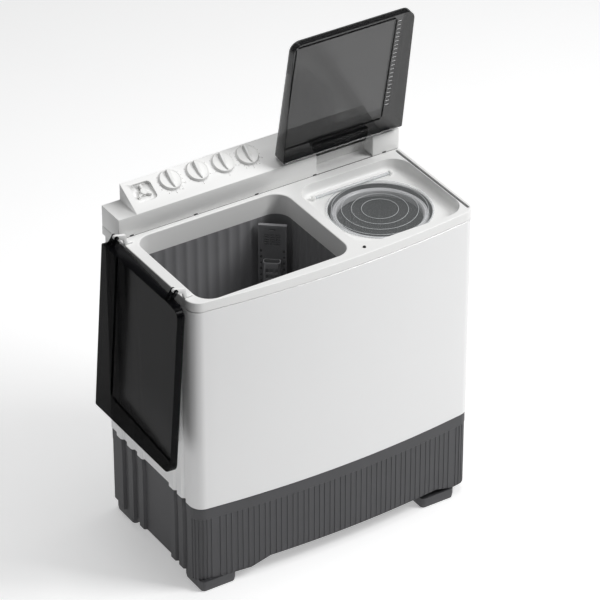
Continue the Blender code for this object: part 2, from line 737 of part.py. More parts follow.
# Overflow cover across the wash tub's rear right corner: a shallow cover, open behind
corner_frame = Matrix.Translation(
    (WASH_RIGHT - OVERFLOW_FROM_CORNER[0], WASH_REAR - OVERFLOW_FROM_CORNER[1], 0)
)
corner_frame = corner_frame @ Matrix.Rotation(radians(OVERFLOW_TURN), 4, "Z")
cover_top = COLLAR_LOW - 0.010
cover_low = WASH_TUB_LOW + TUB_WALL + OVERFLOW_LIFT
cover_half = OVERFLOW_THICKNESS / 2
overflow = box(
    "overflow_cover",
    (-OVERFLOW_HALF_WIDTH, -cover_half, cover_low),
    (OVERFLOW_HALF_WIDTH, cover_half, cover_top),
    GREY,
    matrix=corner_frame,
)
inside = OVERFLOW_HALF_WIDTH - WALL
cut(
    overflow,
    box(
        "cover_hollow",
        (-inside, WALL - cover_half, cover_low + WALL),
        (inside, cover_half + 0.01, cover_top - WALL),
        matrix=corner_frame,
    ),
)
slots = [(corner_frame, (0, -cover_half, cover_top - 0.014), (0.016, 0.02, 0.006))]
for row in range(LOUVRES):
    for column in (-1, 0, 1):
        place = (column * 0.016, -cover_half, cover_top - 0.032 - LOUVRE_PITCH * row)
        slots.append((corner_frame, place, (0.013, 0.02, 0.0042)))
for row in range(9):
    for side in (-1, 1):
        place = (side * 0.0325, -cover_half, cover_top - 0.085 - 0.020 * row)
        slots.append((corner_frame, place, (0.005, 0.02, 0.009)))
cut(overflow, cubes("cover_slots", slots))

# Lint filter: a pocket open at the top, hooked on the cover
filter_top = DECK_TOP - FILTER_DROP
filter_low = filter_top - FILTER_HEIGHT
filter_back = -cover_half - GAP
filter_out = rounded(-FILTER_WIDTH / 2, filter_back - FILTER_DEPTH, FILTER_WIDTH / 2, filter_back, 0.008, 3)
w = FILTER_WALL
filter_in = rounded(
    -FILTER_WIDTH / 2 + w, filter_back - FILTER_DEPTH + w, FILTER_WIDTH / 2 - w, filter_back - w, 0.006, 3
)
lint = prism("lint_filter", [filter_out], filter_low, filter_top, GREY, matrix=corner_frame)
cut(lint, prism("filter_hollow", [filter_in], filter_low + w, filter_top + 0.01, matrix=corner_frame))
mesh_slots = []
for row in range(4):
    for column in (-1, 0, 1):
        place = (column * 0.013, filter_back - FILTER_DEPTH, filter_low + 0.020 + 0.020 * row)
        mesh_slots.append((corner_frame, place, (0.009, 0.01, 0.013)))
cut(lint, cubes("filter_windows", mesh_slots))

# Spin outer tub, with a hole in its floor for the bellows seal
spin_tub_top = RECESS_FLOOR - WALL - GAP
SEAL_HOLE = 0.030
turned(
    "spin_outer_tub",
    [
        (SEAL_HOLE, SPIN_TUB_LOW),
        (SPIN_TUB_RADIUS, SPIN_TUB_LOW),
        (SPIN_TUB_RADIUS, spin_tub_top),
        (SPIN_TUB_RADIUS - TUB_WALL, spin_tub_top),
        (SPIN_TUB_RADIUS - TUB_WALL, SPIN_TUB_LOW + TUB_WALL),
        (SEAL_HOLE, SPIN_TUB_LOW + TUB_WALL),
    ],
    SPIN_X,
    SPIN_Y,
    GREY,
    36,
)
seal_seat = SPIN_TUB_LOW + TUB_WALL + GAP
seal_bore = SHAFT_RADIUS + GAP
turned(
    "bellows_seal",
    [
        (seal_bore, SPIN_TUB_LOW - 0.030),
        (0.020, SPIN_TUB_LOW - 0.030),
        (0.024, SPIN_TUB_LOW - 0.012),
        (SEAL_HOLE - GAP, SPIN_TUB_LOW - 0.004),
        (SEAL_HOLE - GAP, seal_seat),
        (BELLOWS_RADIUS, seal_seat),
        (BELLOWS_RADIUS, seal_seat + 0.004),
        (0.024, seal_seat + 0.004),
        (0.018, SPIN_TUB_LOW - 0.010),
        (seal_bore, SPIN_TUB_LOW - 0.014),
    ],
    SPIN_X,
    SPIN_Y,
    RUBBER,
    16,
)

# Spin basket: a perforated drum with a cone over its shaft, and a balance ring on its rim
CONE_HEIGHT = 0.056
SOCKET_DEPTH = 0.040
basket = turned(
    "spin_basket",
    [
        (seal_bore, BASKET_LOW),
        (BASKET_RADIUS - 0.012, BASKET_LOW),
        (BASKET_RADIUS, BASKET_LOW + 0.012),
        (BASKET_RADIUS, BASKET_TOP),
        (BASKET_RADIUS - BASKET_WALL, BASKET_TOP),
        (BASKET_RADIUS - BASKET_WALL, BASKET_LOW + 0.013),
        (BASKET_RADIUS - 0.0135, BASKET_LOW + BASKET_WALL),
        (0.040, BASKET_LOW + BASKET_WALL),
        (0.022, BASKET_LOW + CONE_HEIGHT - 0.006),
        (0, BASKET_LOW + CONE_HEIGHT),
        (0, BASKET_LOW + SOCKET_DEPTH),
        (seal_bore, BASKET_LOW + SOCKET_DEPTH),
    ],
    SPIN_X,
    SPIN_Y,
    GREY,
    36,
)
holes = []
row_pitch = (BASKET_TOP - BASKET_LOW - 0.060) / BASKET_ROWS
for column in range(BASKET_COLUMNS):
    spoke = Matrix.Translation((SPIN_X, SPIN_Y, 0)) @ Matrix.Rotation(
        (column + 0.5) * 2 * pi / BASKET_COLUMNS, 4, "Z"
    )
    for row in range(BASKET_ROWS):
        middle = BASKET_LOW + 0.040 + row_pitch * (row + 0.5)
        holes.append((spoke, (BASKET_RADIUS, 0, middle), (0.02, BASKET_HOLE, row_pitch * 0.6)))
cut(basket, cubes("basket_holes", holes))
origin_to(basket, (SPIN_X, SPIN_Y, BASKET_LOW))
ring_low = BASKET_TOP + GAP
ring = turned(
    "balance_ring",
    [
        (BASKET_RADIUS - RING_WIDTH, ring_low),
        (BASKET_RADIUS + 0.003, ring_low),
        (BASKET_RADIUS + 0.003, ring_low + RING_HEIGHT - 0.005),
        (BASKET_RADIUS - 0.003, ring_low + RING_HEIGHT),
        (BASKET_RADIUS - RING_WIDTH + 0.006, ring_low + RING_HEIGHT),
        (BASKET_RADIUS - RING_WIDTH, ring_low + RING_HEIGHT - 0.006),
    ],
    SPIN_X,
    SPIN_Y,
    GREY,
    36,
)
origin_to(ring, (SPIN_X, SPIN_Y, ring_low))

# Spin motor on three rubber mounts, the shaft with its brake drum, and the brake lever
MOTOR_PLATE = 0.003
SPIN_MOTOR_LOW = PLINTH_FLOOR + MOUNT_HEIGHT + 2 * GAP
SPIN_MOTOR_TOP = SPIN_MOTOR_LOW + SPIN_MOTOR_HEIGHT
PLATE_RADIUS = MOUNT_CIRCLE + MOUNT_RADIUS
spin_motor = turned(
    "spin_motor",
    [
        (0, SPIN_MOTOR_LOW),
        (0, SPIN_MOTOR_TOP),
        (0.030, SPIN_MOTOR_TOP),
        (SPIN_MOTOR_RADIUS, SPIN_MOTOR_TOP - 0.014),
        (SPIN_MOTOR_RADIUS, SPIN_MOTOR_LOW + MOTOR_PLATE),
        (PLATE_RADIUS, SPIN_MOTOR_LOW + MOTOR_PLATE),
        (PLATE_RADIUS, SPIN_MOTOR_LOW),
    ],
    SPIN_X,
    SPIN_Y,
    CASTING,
    24,
)
drum_low = SPIN_MOTOR_TOP + 0.008
drum_top = drum_low + BRAKE_HEIGHT
BRAKE_PIVOT_X = SPIN_X + BRAKE_RADIUS + 0.025
BRAKE_PIVOT_Y = SPIN_Y - 0.045
POST_RADIUS = 0.004
post = rod(
    "brake_post",
    (BRAKE_PIVOT_X, BRAKE_PIVOT_Y, SPIN_MOTOR_LOW + 0.001),
    (BRAKE_PIVOT_X, BRAKE_PIVOT_Y, drum_top + 0.002),
    POST_RADIUS,
)
fuse(spin_motor, post)
shaft_low = SPIN_MOTOR_TOP - 0.030
socket = rod("motor_socket", (SPIN_X, SPIN_Y, shaft_low - GAP), (SPIN_X, SPIN_Y, drum_top), seal_bore)
cut(spin_motor, socket)
for i, place in enumerate(("front", "left", "right")):
    turn = radians(-90 - 120 * i)
    mount_x = SPIN_X + MOUNT_CIRCLE * cos(turn)
    mount_y = SPIN_Y + MOUNT_CIRCLE * sin(turn)
    mount_low = PLINTH_FLOOR + GAP
    waist = MOUNT_RADIUS - 0.004
    spool = [
        (0, mount_low),
        (0, mount_low + MOUNT_HEIGHT),
        (MOUNT_RADIUS, mount_low + MOUNT_HEIGHT),
        (MOUNT_RADIUS, mount_low + MOUNT_HEIGHT - 0.010),
        (waist, mount_low + MOUNT_HEIGHT / 2),
        (MOUNT_RADIUS, mount_low + 0.010),
        (MOUNT_RADIUS, mount_low),
    ]
    turned("motor_mount_" + place, spool, mount_x, mount_y, RUBBER, 16)
shaft = rod(
    "spin_shaft",
    (SPIN_X, SPIN_Y, shaft_low),
    (SPIN_X, SPIN_Y, BASKET_LOW + SOCKET_DEPTH - GAP),
    SHAFT_RADIUS,
    STEEL,
)
origin_to(shaft, (SPIN_X, SPIN_Y, SPIN_MOTOR_TOP))
drum = turned(
    "brake_drum",
    [
        (seal_bore, drum_low),
        (BRAKE_RADIUS, drum_low),
        (BRAKE_RADIUS, drum_top),
        (BRAKE_RADIUS - 0.005, drum_top),
        (BRAKE_RADIUS - 0.005, drum_low + 0.005),
        (0.016, drum_low + 0.005),
        (0.016, drum_top),
        (seal_bore, drum_top),
    ],
    SPIN_X,
    SPIN_Y,
    CASTING,
    24,
)
origin_to(drum, (SPIN_X, SPIN_Y, drum_low))
lever_low = drum_low + 0.006
lever_high = drum_top - 0.006
arm = rounded(
    BRAKE_PIVOT_X - 0.008, BRAKE_PIVOT_Y - 0.009, BRAKE_PIVOT_X + 0.008, BRAKE_PIVOT_Y + 0.075, 0.0075, 3
)
brake = prism("brake_lever", [arm], lever_low, lever_high, ZINC)
BRAKE_GAP = 0.0012
shoe_low = (SPIN_X + BRAKE_RADIUS + BRAKE_GAP, SPIN_Y - 0.012, lever_low + 0.001)
shoe_high = (BRAKE_PIVOT_X - 0.004, SPIN_Y + 0.012, lever_high - 0.001)
fuse(brake, box("brake_shoe", shoe_low, shoe_high))
brake_bore = rod(
    "brake_bore", (BRAKE_PIVOT_X, BRAKE_PIVOT_Y, 0), (BRAKE_PIVOT_X, BRAKE_PIVOT_Y, 1), POST_RADIUS + GAP
)
cut(brake, brake_bore)
origin_to(brake, (BRAKE_PIVOT_X, BRAKE_PIVOT_Y, lever_low))

# Drain valve behind the tubs, with a pipe from each tub, its plunger, and the spigot at the back
DRAIN_X = WASH_RIGHT + 0.030
DRAIN_Y = WASH_REAR + 0.052
DRAIN_LOW = PLINTH_TOP + 0.015
DRAIN_HEIGHT = 0.070
DRAIN_RADIUS = 0.024
DRAIN_PIPE_RADIUS = 0.011
pipe_z = DRAIN_LOW + 0.045
valve = rod(
    "drain_valve_body",
    (DRAIN_X, DRAIN_Y, DRAIN_LOW),
    (DRAIN_X, DRAIN_Y, DRAIN_LOW + DRAIN_HEIGHT),
    DRAIN_RADIUS,
    GREY,
    20,
)
wash_outlet = (WASH_RIGHT - 0.040, WASH_REAR - 0.030)
spin_outlet = (SPIN_X - 0.060, SPIN_Y + 0.100)
for (x, y), top in ((wash_outlet, WASH_TUB_LOW - GAP), (spin_outlet, SPIN_TUB_LOW - GAP)):
    fuse(
        valve,
        rod("drain_run", (DRAIN_X, DRAIN_Y, pipe_z), (x, y, pipe_z), DRAIN_PIPE_RADIUS),
        rod(
            "drain_riser", (x, y, pipe_z - DRAIN_PIPE_RADIUS - 0.002), (x, y, top), DRAIN_PIPE_RADIUS + 0.002
        ),
    )
cut(
    valve,
    rod(
        "valve_bore",
        (DRAIN_X, DRAIN_Y, DRAIN_LOW + 0.004),
        (DRAIN_X, DRAIN_Y, 1),
        DRAIN_RADIUS - 0.003,
        steps=20,
    ),
)
plunger = turned(
    "drain_plunger",
    [
        (0, DRAIN_LOW + 0.004 + GAP),
        (0, DRAIN_LOW + DRAIN_HEIGHT + 0.045),
        (0.004, DRAIN_LOW + DRAIN_HEIGHT + 0.045),
        (0.004, DRAIN_LOW + 0.020),
        (DRAIN_RADIUS - 0.006, DRAIN_LOW + 0.016),
        (DRAIN_RADIUS - 0.008, DRAIN_LOW + 0.004 + GAP),
    ],
    DRAIN_X,
    DRAIN_Y,
    BLACK,
    14,
)
origin_to(plunger, (DRAIN_X, DRAIN_Y, DRAIN_LOW))


def spigot(name, x, z, start, radius, bore, material):
    """A hollow hose stub that stands out at the back, with a collar against the panel's inner face."""
    made = rod(name, (x, start, z), (x, REAR_FACE + SPIGOT_REACH, z), radius, material, 20)
    bead = rod(
        "spigot_bead",
        (x, REAR_FACE + SPIGOT_REACH - 0.006, z),
        (x, REAR_FACE + SPIGOT_REACH - 0.002, z),
        radius + 0.0015,
        steps=20,
    )
    fuse(made, bead)
    return cut(made, rod("spigot_bore", (x, start + 0.004, z), (x, 1, z), bore, steps=20))


spigot_z = DRAIN_LOW + 0.020
spigot("drain_spigot", DRAIN_X, spigot_z, DRAIN_Y + DRAIN_RADIUS + GAP, SPIGOT_RADIUS, 0.010, BLACK)
cut(
    back,
    rod(
        "drain_exit",
        (DRAIN_X, panel_rear - 0.02, spigot_z),
        (DRAIN_X, DEPTH, spigot_z),
        SPIGOT_RADIUS + GAP,
        steps=20,
    ),
)

# Cord gland low on the back panel, a bush with a bore for the supply cord
GLAND_X = WIDTH * 0.86
GLAND_Z = PLINTH_TOP + 0.045
GLAND_RADIUS = 0.009
gland = rod(
    "cord_gland",
    (GLAND_X, panel_rear - 0.012, GLAND_Z),
    (GLAND_X, DEPTH + 0.006, GLAND_Z),
    GLAND_RADIUS,
    BLACK,
    20,
)
fuse(
    gland,
    rod(
        "gland_flange",
        (GLAND_X, DEPTH - WALL, GLAND_Z),
        (GLAND_X, DEPTH + 0.001, GLAND_Z),
        GLAND_RADIUS + 0.004,
        steps=20,
    ),
)
cut(gland, rod("gland_bore", (GLAND_X, panel_rear - 0.02, GLAND_Z), (GLAND_X, 1, GLAND_Z), 0.004, steps=12))
cut(
    back,
    rod(
        "gland_hole",
        (GLAND_X, panel_rear - 0.02, GLAND_Z),
        (GLAND_X, DEPTH, GLAND_Z),
        GLAND_RADIUS + GAP,
        steps=20,
    ),
)

# Run capacitor strapped to the back panel's inner face
CAPACITOR_RADIUS = 0.018
capacitor_y = panel_rear - PANEL_THICKNESS - GAP - CAPACITOR_RADIUS
capacitor_x = WIDTH * 0.42
rod(
    "run_capacitor",
    (capacitor_x, capacitor_y, 0.56),
    (capacitor_x, capacitor_y, 0.64),
    CAPACITOR_RADIUS,
    BLACK,
    20,
)


# Console
def slope_frame(x, up):
    """A frame on the console's slope: its x along X, its y up the slope, its z out of it."""
    place = Matrix.Translation((x, CONSOLE_FRONT + up * cos(SLOPE), CONSOLE_TOP + up * sin(SLOPE)))
    return place @ Matrix.Rotation(SLOPE, 4, "X")


def console_solid(name, inset, rear, low, material=None):
    """The console's outline as a solid, this far inside its outer faces."""
    lower = [
        (CONSOLE_FRONT + inset, low),
        (rear, low),
        (rear, CONSOLE_TOP - inset),
        (CONSOLE_FRONT + inset, CONSOLE_TOP - inset),
    ]
    drop = inset / cos(SLOPE)
    start = CONSOLE_FRONT + inset
    slope_at = {y: CONSOLE_TOP - drop + (y - CONSOLE_FRONT) * WEDGE_RISE / SLOPE_RUN for y in (start, rear)}
    upper = [
        (start, CONSOLE_TOP - inset - 0.020),
        (rear, CONSOLE_TOP - inset - 0.020),
        (rear, slope_at[rear]),
        (start, slope_at[start]),
    ]
    solid = prism(name, [lower], inset, WIDTH - inset, material, axis="X")
    return fuse(
        solid, prism(name + "_wedge", [upper], WEDGE_LEFT + inset, WIDTH - WEDGE_RIGHT - inset, axis="X")
    )


console = console_solid("console_housing", 0, DEPTH, DECK_TOP + GAP, WHITE)
console_hollow = console_solid("console_hollow", WALL, DEPTH + 0.01, DECK_TOP - 0.01)
notch_left = TONGUE_LEFT - NOTCH_CLEARANCE
notch_right = TONGUE_RIGHT + NOTCH_CLEARANCE
pocket_frame = slope_frame(POCKET_X, POCKET_UP_SLOPE)


def pocket_outline(grow):
    half_x = POCKET_LENGTH / 2 + grow
    half_y = POCKET_WIDTH / 2 + grow
    return rounded(-half_x, -half_y, half_x, half_y, 0.012 + grow, 4)


cut(
    console_hollow,
    box("notch_walls", (notch_left - WALL, 0, 0), (notch_right + WALL, NOTCH_REAR + WALL, 2)),
    prism("pocket_walls", [pocket_outline(WALL)], -POCKET_DEPTH - WALL, 0.05, matrix=pocket_frame),
)
cut(
    console,
    console_hollow,
    box("hinge_notch", (notch_left, 0, 0), (notch_right, NOTCH_REAR, 2)),
    prism("selector_pocket", [pocket_outline(0)], -POCKET_DEPTH, 0.05, matrix=pocket_frame),
    rod(
        "hinge_pin_bore",
        (notch_left - 0.01, SPIN_PIVOT_Y, SPIN_PIVOT_Z),
        (notch_right + 0.01, SPIN_PIVOT_Y, SPIN_PIVOT_Z),
        PIN_RADIUS + GAP,
    ),
    rod("lever_bore", (0, 0, -0.05), (0, 0, 0), SPINDLE_RADIUS + GAP, matrix=pocket_frame),
)
back_cover = console_solid("console_back_cover", WALL + GAP, DEPTH - GAP, DECK_TOP + 2 * GAP, WHITE)
cut(back_cover, box("back_cover_front", (-1, 0, 0), (WIDTH + 1, DEPTH - WALL, 2)))

# Timers and switches under the slope, and the knobs on their spindles
for name, knob_name, x in zip(TIMER_NAMES, KNOB_NAMES, KNOBS_X):
    frame = slope_frame(x, KNOB_UP_SLOPE)
    bore = rod("spindle_bore", (0, 0, -WALL - 0.010), (0, 0, 0.010), SPINDLE_RADIUS + GAP, matrix=frame)
    cut(console, bore)
    timer_half = TIMER_LENGTH / 2
    top = -WALL - GAP
    cut(
        box(
            name,
            (-timer_half, -timer_half, top - TIMER_DEPTH),
            (timer_half, timer_half, top),
            GREY,
            matrix=frame,
        ),
        bore,
    )
    knob = rod(knob_name, (0, 0, GAP), (0, 0, KNOB_SKIRT), KNOB_RADIUS, WHITE, 32, KNOB_RADIUS - 0.003, frame)
    blade = [(-0.007, 0.026), (-0.008, -0.018), (0, -0.031), (0.008, -0.018), (0.007, 0.026)]
    fuse(
        knob,
        prism("knob_grip", [blade], KNOB_SKIRT - 0.002, KNOB_GRIP, matrix=frame),
        rod("spindle", (0, 0, -WALL - 0.008), (0, 0, GAP + 0.002), SPINDLE_RADIUS, matrix=frame),
    )
    origin_to(knob, frame.translation)

# Inlet selector lever in its pocket: a hub with three arms
lever_low = -POCKET_DEPTH + GAP
lever = rod("inlet_lever", (0, 0, lever_low), (0, 0, 0.003), 0.010, WHITE, 20, matrix=pocket_frame)
for turn in (90, 210, 330):
    arm_frame = pocket_frame @ Matrix.Rotation(radians(turn), 4, "Z")
    fuse(lever, box("lever_arm", (0, -0.0035, lever_low + 0.001), (0.024, 0.0035, 0.001), matrix=arm_frame))
fuse(
    lever,
    rod(
        "lever_spindle",
        (0, 0, -POCKET_DEPTH - WALL - 0.004),
        (0, 0, lever_low + 0.002),
        SPINDLE_RADIUS,
        matrix=pocket_frame,
    ),
)
origin_to(lever, pocket_frame.translation)

# Water inlet at the console's back
INLET_X = POCKET_X + 0.010
INLET_Z = DECK_TOP + 0.030
spigot("inlet_spigot", INLET_X, INLET_Z, DEPTH - 0.030, SPIGOT_RADIUS - 0.003, 0.006, WHITE)
cut(
    back_cover,
    rod("inlet_hole", (INLET_X, 0, INLET_Z), (INLET_X, 1, INLET_Z), SPIGOT_RADIUS - 0.003 + GAP, steps=20),
)


# Lids
def lid_solid(name, left, right, inset, material=None):
    """A lid's outline as a solid, shut, this far inside its outer faces. Its front corners are round."""
    low = LID_LOW - (0.01 if inset else 0)
    front = LID_FRONT + inset
    rear = LID_REAR - inset
    side = [
        (front, low),
        (rear, low),
        (rear, LID_LOW + LID_REAR_HEIGHT - inset),
        (front, LID_LOW + LID_FRONT_HEIGHT - inset),
    ]
    r = LID_CORNER - inset
    plan = arc(left + inset + r, front + r, r, 180, 270) + arc(right - inset - r, front + r, r, 270, 360)
    plan += [(right - inset, rear), (left + inset, rear)]
    solid = prism(name, [side], left + inset, right - inset, material, axis="X")
    return common(solid, prism(name + "_plan", [plan], low - 0.01, LID_LOW + 0.1))


def lid_shell(name, left, right):
    return cut(lid_solid(name, left, right, 0, SMOKE), lid_solid(name + "_hollow", left, right, LID_WALL))


def settle(piece):
    """Makes a piece's modifiers part of its mesh."""
    graph = bpy.context.evaluated_depsgraph_get()
    mesh = bpy.data.meshes.new_from_object(piece.evaluated_get(graph))
    piece.modifiers.clear()
    piece.data = mesh
    return piece


wash_left = -WASH_LID_OVERHANG
wash_lid = lid_shell("wash_lid", wash_left, wash_left + WASH_LID_LENGTH)
LUG_WIDTH = 0.005
lug_from = BRACKET_WIDTH / 2 + 0.0006
boss = arc(WASH_PIVOT_X, WASH_PIVOT_Z, BOSS_RADIUS, 90, 270, 8)
lug = boss + [(wash_left + 0.002, LID_LOW + 0.008), (wash_left + 0.002, LID_LOW + 0.022)]
for y in BRACKETS_Y:
    reach = lug_from - 0.0001
    cut(wash_lid, box("bracket_slot", (wash_left - 0.02, y - reach, 0), (wash_left + 0.020, y + reach, 2)))
    for side in (-1, 1):
        ends = sorted((y + side * lug_from, y + side * (lug_from + LUG_WIDTH)))
        fuse(wash_lid, prism("lid_lug", [lug], *ends, axis="Y"))
    pivot = (WASH_PIVOT_X, y, WASH_PIVOT_Z)
    cut(
        wash_lid,
        rod("lug_bore", (pivot[0], y - 0.02, pivot[2]), (pivot[0], y + 0.02, pivot[2]), PIN_RADIUS + GAP),
    )
turn_open(settle(wash_lid), (WASH_PIVOT_X, WASH_Y, WASH_PIVOT_Z), "Y", -WASH_OPEN_ANGLE)

foot_z = DECK_TOP + GAP
hook = boss + [(-0.004, WASH_PIVOT_Z - 0.015), (0.0005, foot_z), (0.026, foot_z), (0.026, foot_z + 0.004)]
hook += [(0.010, foot_z + 0.004), (0.004, WASH_PIVOT_Z - 0.001)]
for place, y in zip(("front", "rear"), BRACKETS_Y):
    bracket_half = BRACKET_WIDTH / 2
    bracket = prism(
        "wash_hinge_bracket_" + place, [hook], y - bracket_half, y + bracket_half, WHITE, axis="Y"
    )
    pivot = (WASH_PIVOT_X, y, WASH_PIVOT_Z)
    cut(
        bracket,
        rod("bracket_bore", (pivot[0], y - 0.02, pivot[2]), (pivot[0], y + 0.02, pivot[2]), PIN_RADIUS + GAP),
    )
    reach = lug_from + LUG_WIDTH
    pin = rod(
        "wash_hinge_pin_" + place,
        (pivot[0], y - reach, pivot[2]),
        (pivot[0], y + reach, pivot[2]),
        PIN_RADIUS,
        STEEL,
    )
    origin_to(pin, pivot)

spin_lid = lid_shell("spin_lid", SPIN_LID_LEFT, SPIN_LID_RIGHT)
tongue_root = LID_REAR - 0.002
tongue = arc(SPIN_PIVOT_Y, SPIN_PIVOT_Z, BOSS_RADIUS, -90, 90, 8)
tongue += [(tongue_root, LID_LOW + LID_REAR_HEIGHT - 0.003), (tongue_root, LID_LOW + LID_REAR_HEIGHT - 0.016)]
fuse(spin_lid, prism("lid_tongue", [tongue], TONGUE_LEFT, TONGUE_RIGHT, axis="X"))
pin_start = (notch_left - WALL, SPIN_PIVOT_Y, SPIN_PIVOT_Z)
pin_end = (notch_right + WALL, SPIN_PIVOT_Y, SPIN_PIVOT_Z)
cut(spin_lid, rod("tongue_bore", pin_start, pin_end, PIN_RADIUS + GAP))
vents = []
for i in range(VENTS):
    place = (SPIN_LID_RIGHT - 0.030, LID_FRONT + 0.045 + VENT_PITCH * i, LID_LOW + LID_REAR_HEIGHT / 2)
    vents.append((Matrix(), place, (VENT_LENGTH, VENT_WIDTH, 0.1)))
cut(spin_lid, cubes("lid_vents", vents))
spin_pivot = ((TONGUE_LEFT + TONGUE_RIGHT) / 2, SPIN_PIVOT_Y, SPIN_PIVOT_Z)
turn_open(settle(spin_lid), spin_pivot, "X", -SPIN_OPEN_ANGLE)
origin_to(rod("spin_hinge_pin", pin_start, pin_end, PIN_RADIUS, STEEL), spin_pivot)

# Spin safety cover: a clear disc with a barrel and two pins along its back edge, and the deck's lugs
cover_low = RECESS_FLOOR + GAP
cover_radius = SPIN_HOLE_RADIUS + COVER_LAP
pivot_z = RECESS_FLOOR + COVER_PIVOT_RISE
barrel_half = cover_radius - COVER_BARREL_INSET
LUG_LENGTH = 0.008
safety = prism(
    "spin_safety_cover",
    [circle(SPIN_X, SPIN_Y, cover_radius, 36)],
    cover_low,
    cover_low + COVER_THICKNESS,
    CLEAR,
)
cut(safety, box("cover_trim", (SPIN_X - 1, COVER_PIVOT_Y, 0), (SPIN_X + 1, 1, 2)))
tab_y = SPIN_Y - cover_radius
tab_low = (SPIN_X - 0.015, tab_y - 0.010, cover_low + 0.0005)
tab = box("cover_tab", tab_low, (SPIN_X + 0.015, tab_y + 0.010, cover_low + 0.006))


def along_hinge(name, reach, radius):
    """A rod on the cover's hinge line, this far to each side of its middle."""
    start = (SPIN_X - reach, COVER_PIVOT_Y, pivot_z)
    return rod(name, start, (SPIN_X + reach, COVER_PIVOT_Y, pivot_z), radius)


COVER_PIN_RADIUS = 0.003
barrel = along_hinge("cover_barrel", barrel_half, 0.005)
pins = along_hinge("cover_pins", barrel_half + LUG_LENGTH, COVER_PIN_RADIUS)
fuse(safety, tab, barrel, pins)
origin_to(safety, (SPIN_X, COVER_PIVOT_Y, pivot_z))
for side in (-1, 1):
    reach = (barrel_half + 2 * GAP, barrel_half + LUG_LENGTH + 0.002)
    ends = sorted(SPIN_X + side * x for x in reach)
    low = (ends[0], COVER_PIVOT_Y - 0.006, RECESS_FLOOR - 0.001)
    fuse(deck, box("cover_lug", low, (ends[1], COVER_PIVOT_Y + 0.006, pivot_z + 0.006)))
cut(deck, along_hinge("cover_lug_bore", barrel_half + LUG_LENGTH + GAP, COVER_PIN_RADIUS + GAP))

# A rubber stop on the deck's bridge, which the spin lid's front corner rests on
STOP_RADIUS = 0.005
stop_x = RECESS_LEFT + 0.004
stop_y = RECESS_FRONT - 0.012
rod(
    "lid_stop",
    (stop_x, stop_y, DECK_TOP + GAP),
    (stop_x, stop_y, DECK_TOP + 0.004),
    STOP_RADIUS,
    RUBBER,
    end_radius=0.004,
)
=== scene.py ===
import json
from math import asin, atan2, cos, degrees, pi, radians, sin

import bmesh
import bpy
from mathutils import Matrix, Vector


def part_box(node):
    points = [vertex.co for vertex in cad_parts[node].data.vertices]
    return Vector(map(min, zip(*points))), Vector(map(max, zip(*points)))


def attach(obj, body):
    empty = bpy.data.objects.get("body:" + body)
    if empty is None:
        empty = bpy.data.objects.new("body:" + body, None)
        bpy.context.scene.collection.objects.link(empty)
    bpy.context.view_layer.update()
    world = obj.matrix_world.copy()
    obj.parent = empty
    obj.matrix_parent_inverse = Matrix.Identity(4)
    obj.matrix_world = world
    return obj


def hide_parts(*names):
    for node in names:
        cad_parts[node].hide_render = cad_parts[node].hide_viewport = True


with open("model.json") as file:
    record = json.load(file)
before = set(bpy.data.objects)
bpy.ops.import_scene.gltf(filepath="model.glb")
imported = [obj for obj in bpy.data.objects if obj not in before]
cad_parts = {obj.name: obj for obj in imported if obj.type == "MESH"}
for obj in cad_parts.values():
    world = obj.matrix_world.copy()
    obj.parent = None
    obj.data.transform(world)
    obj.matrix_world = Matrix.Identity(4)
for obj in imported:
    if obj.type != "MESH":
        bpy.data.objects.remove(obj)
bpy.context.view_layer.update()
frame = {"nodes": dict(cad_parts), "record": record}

# The studio: a plain pale floor, one large soft light high on the front right, a weaker one overhead
# and an even fill. A long lens looks down on the machine from its front left.
WIDTH, DEPTH = 0.920, 0.486  # the cabinet, in metres, without the lids and spigots
deck_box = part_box("top_deck")
corner = Vector((deck_box[0].x, deck_box[1].y - DEPTH, 0))  # its front left corner, on the floor
scene = bpy.context.scene
scene.view_settings.view_transform = "Standard"


def linear(colour):
    """An sRGB hex colour as linear red, green, blue and alpha."""
    parts = [int(colour[i : i + 2], 16) / 255 for i in (0, 2, 4)]
    return (*[c / 12.92 if c <= 0.04045 else ((c + 0.055) / 1.055) ** 2.4 for c in parts], 1)


def node(tree, kind, inputs=(), **settings):
    """Adds a shader node with its settings, and fills or links its sockets."""
    made = tree.nodes.new("ShaderNode" + kind)
    for name, value in settings.items():
        setattr(made, name, value)
    for socket, value in dict(inputs).items():
        if isinstance(value, bpy.types.NodeSocket):
            tree.links.new(value, made.inputs[socket])
        else:
            made.inputs[socket].default_value = value
    return made


def new_finish(name, **sockets):
    """A material, its node tree and its object coordinates, with values on the shader's own sockets."""
    made = bpy.data.materials.new(name)
    made.use_nodes = True
    shader = made.node_tree.nodes["Principled BSDF"]
    for socket, value in sockets.items():
        shader.inputs[socket.replace("_", " ")].default_value = value
    return made, made.node_tree, node(made.node_tree, "TexCoord").outputs["Object"]


def dress(tree, colour, roughness, height, relief):
    """Links a pattern's colour, roughness and height to the shader. The relief is in millimetres."""
    shader = tree.nodes["Principled BSDF"]
    bump = node(tree, "Bump", {"Height": height, "Distance": relief / 1000})
    tree.links.new(colour, shader.inputs["Base Color"])
    tree.links.new(roughness, shader.inputs["Roughness"])
    tree.links.new(bump.outputs[0], shader.inputs["Normal"])


def soft_light(name, place, power, size):
    """A large square light that faces the machine's middle."""
    light = bpy.data.objects.new(name, bpy.data.lights.new(name, "AREA"))
    light.data.energy = power
    light.data.size = size
    light.location = corner + Vector(place)
    light.rotation_euler = (light.location - target).to_track_quat("Z", "Y").to_euler()
    scene.collection.objects.link(light)


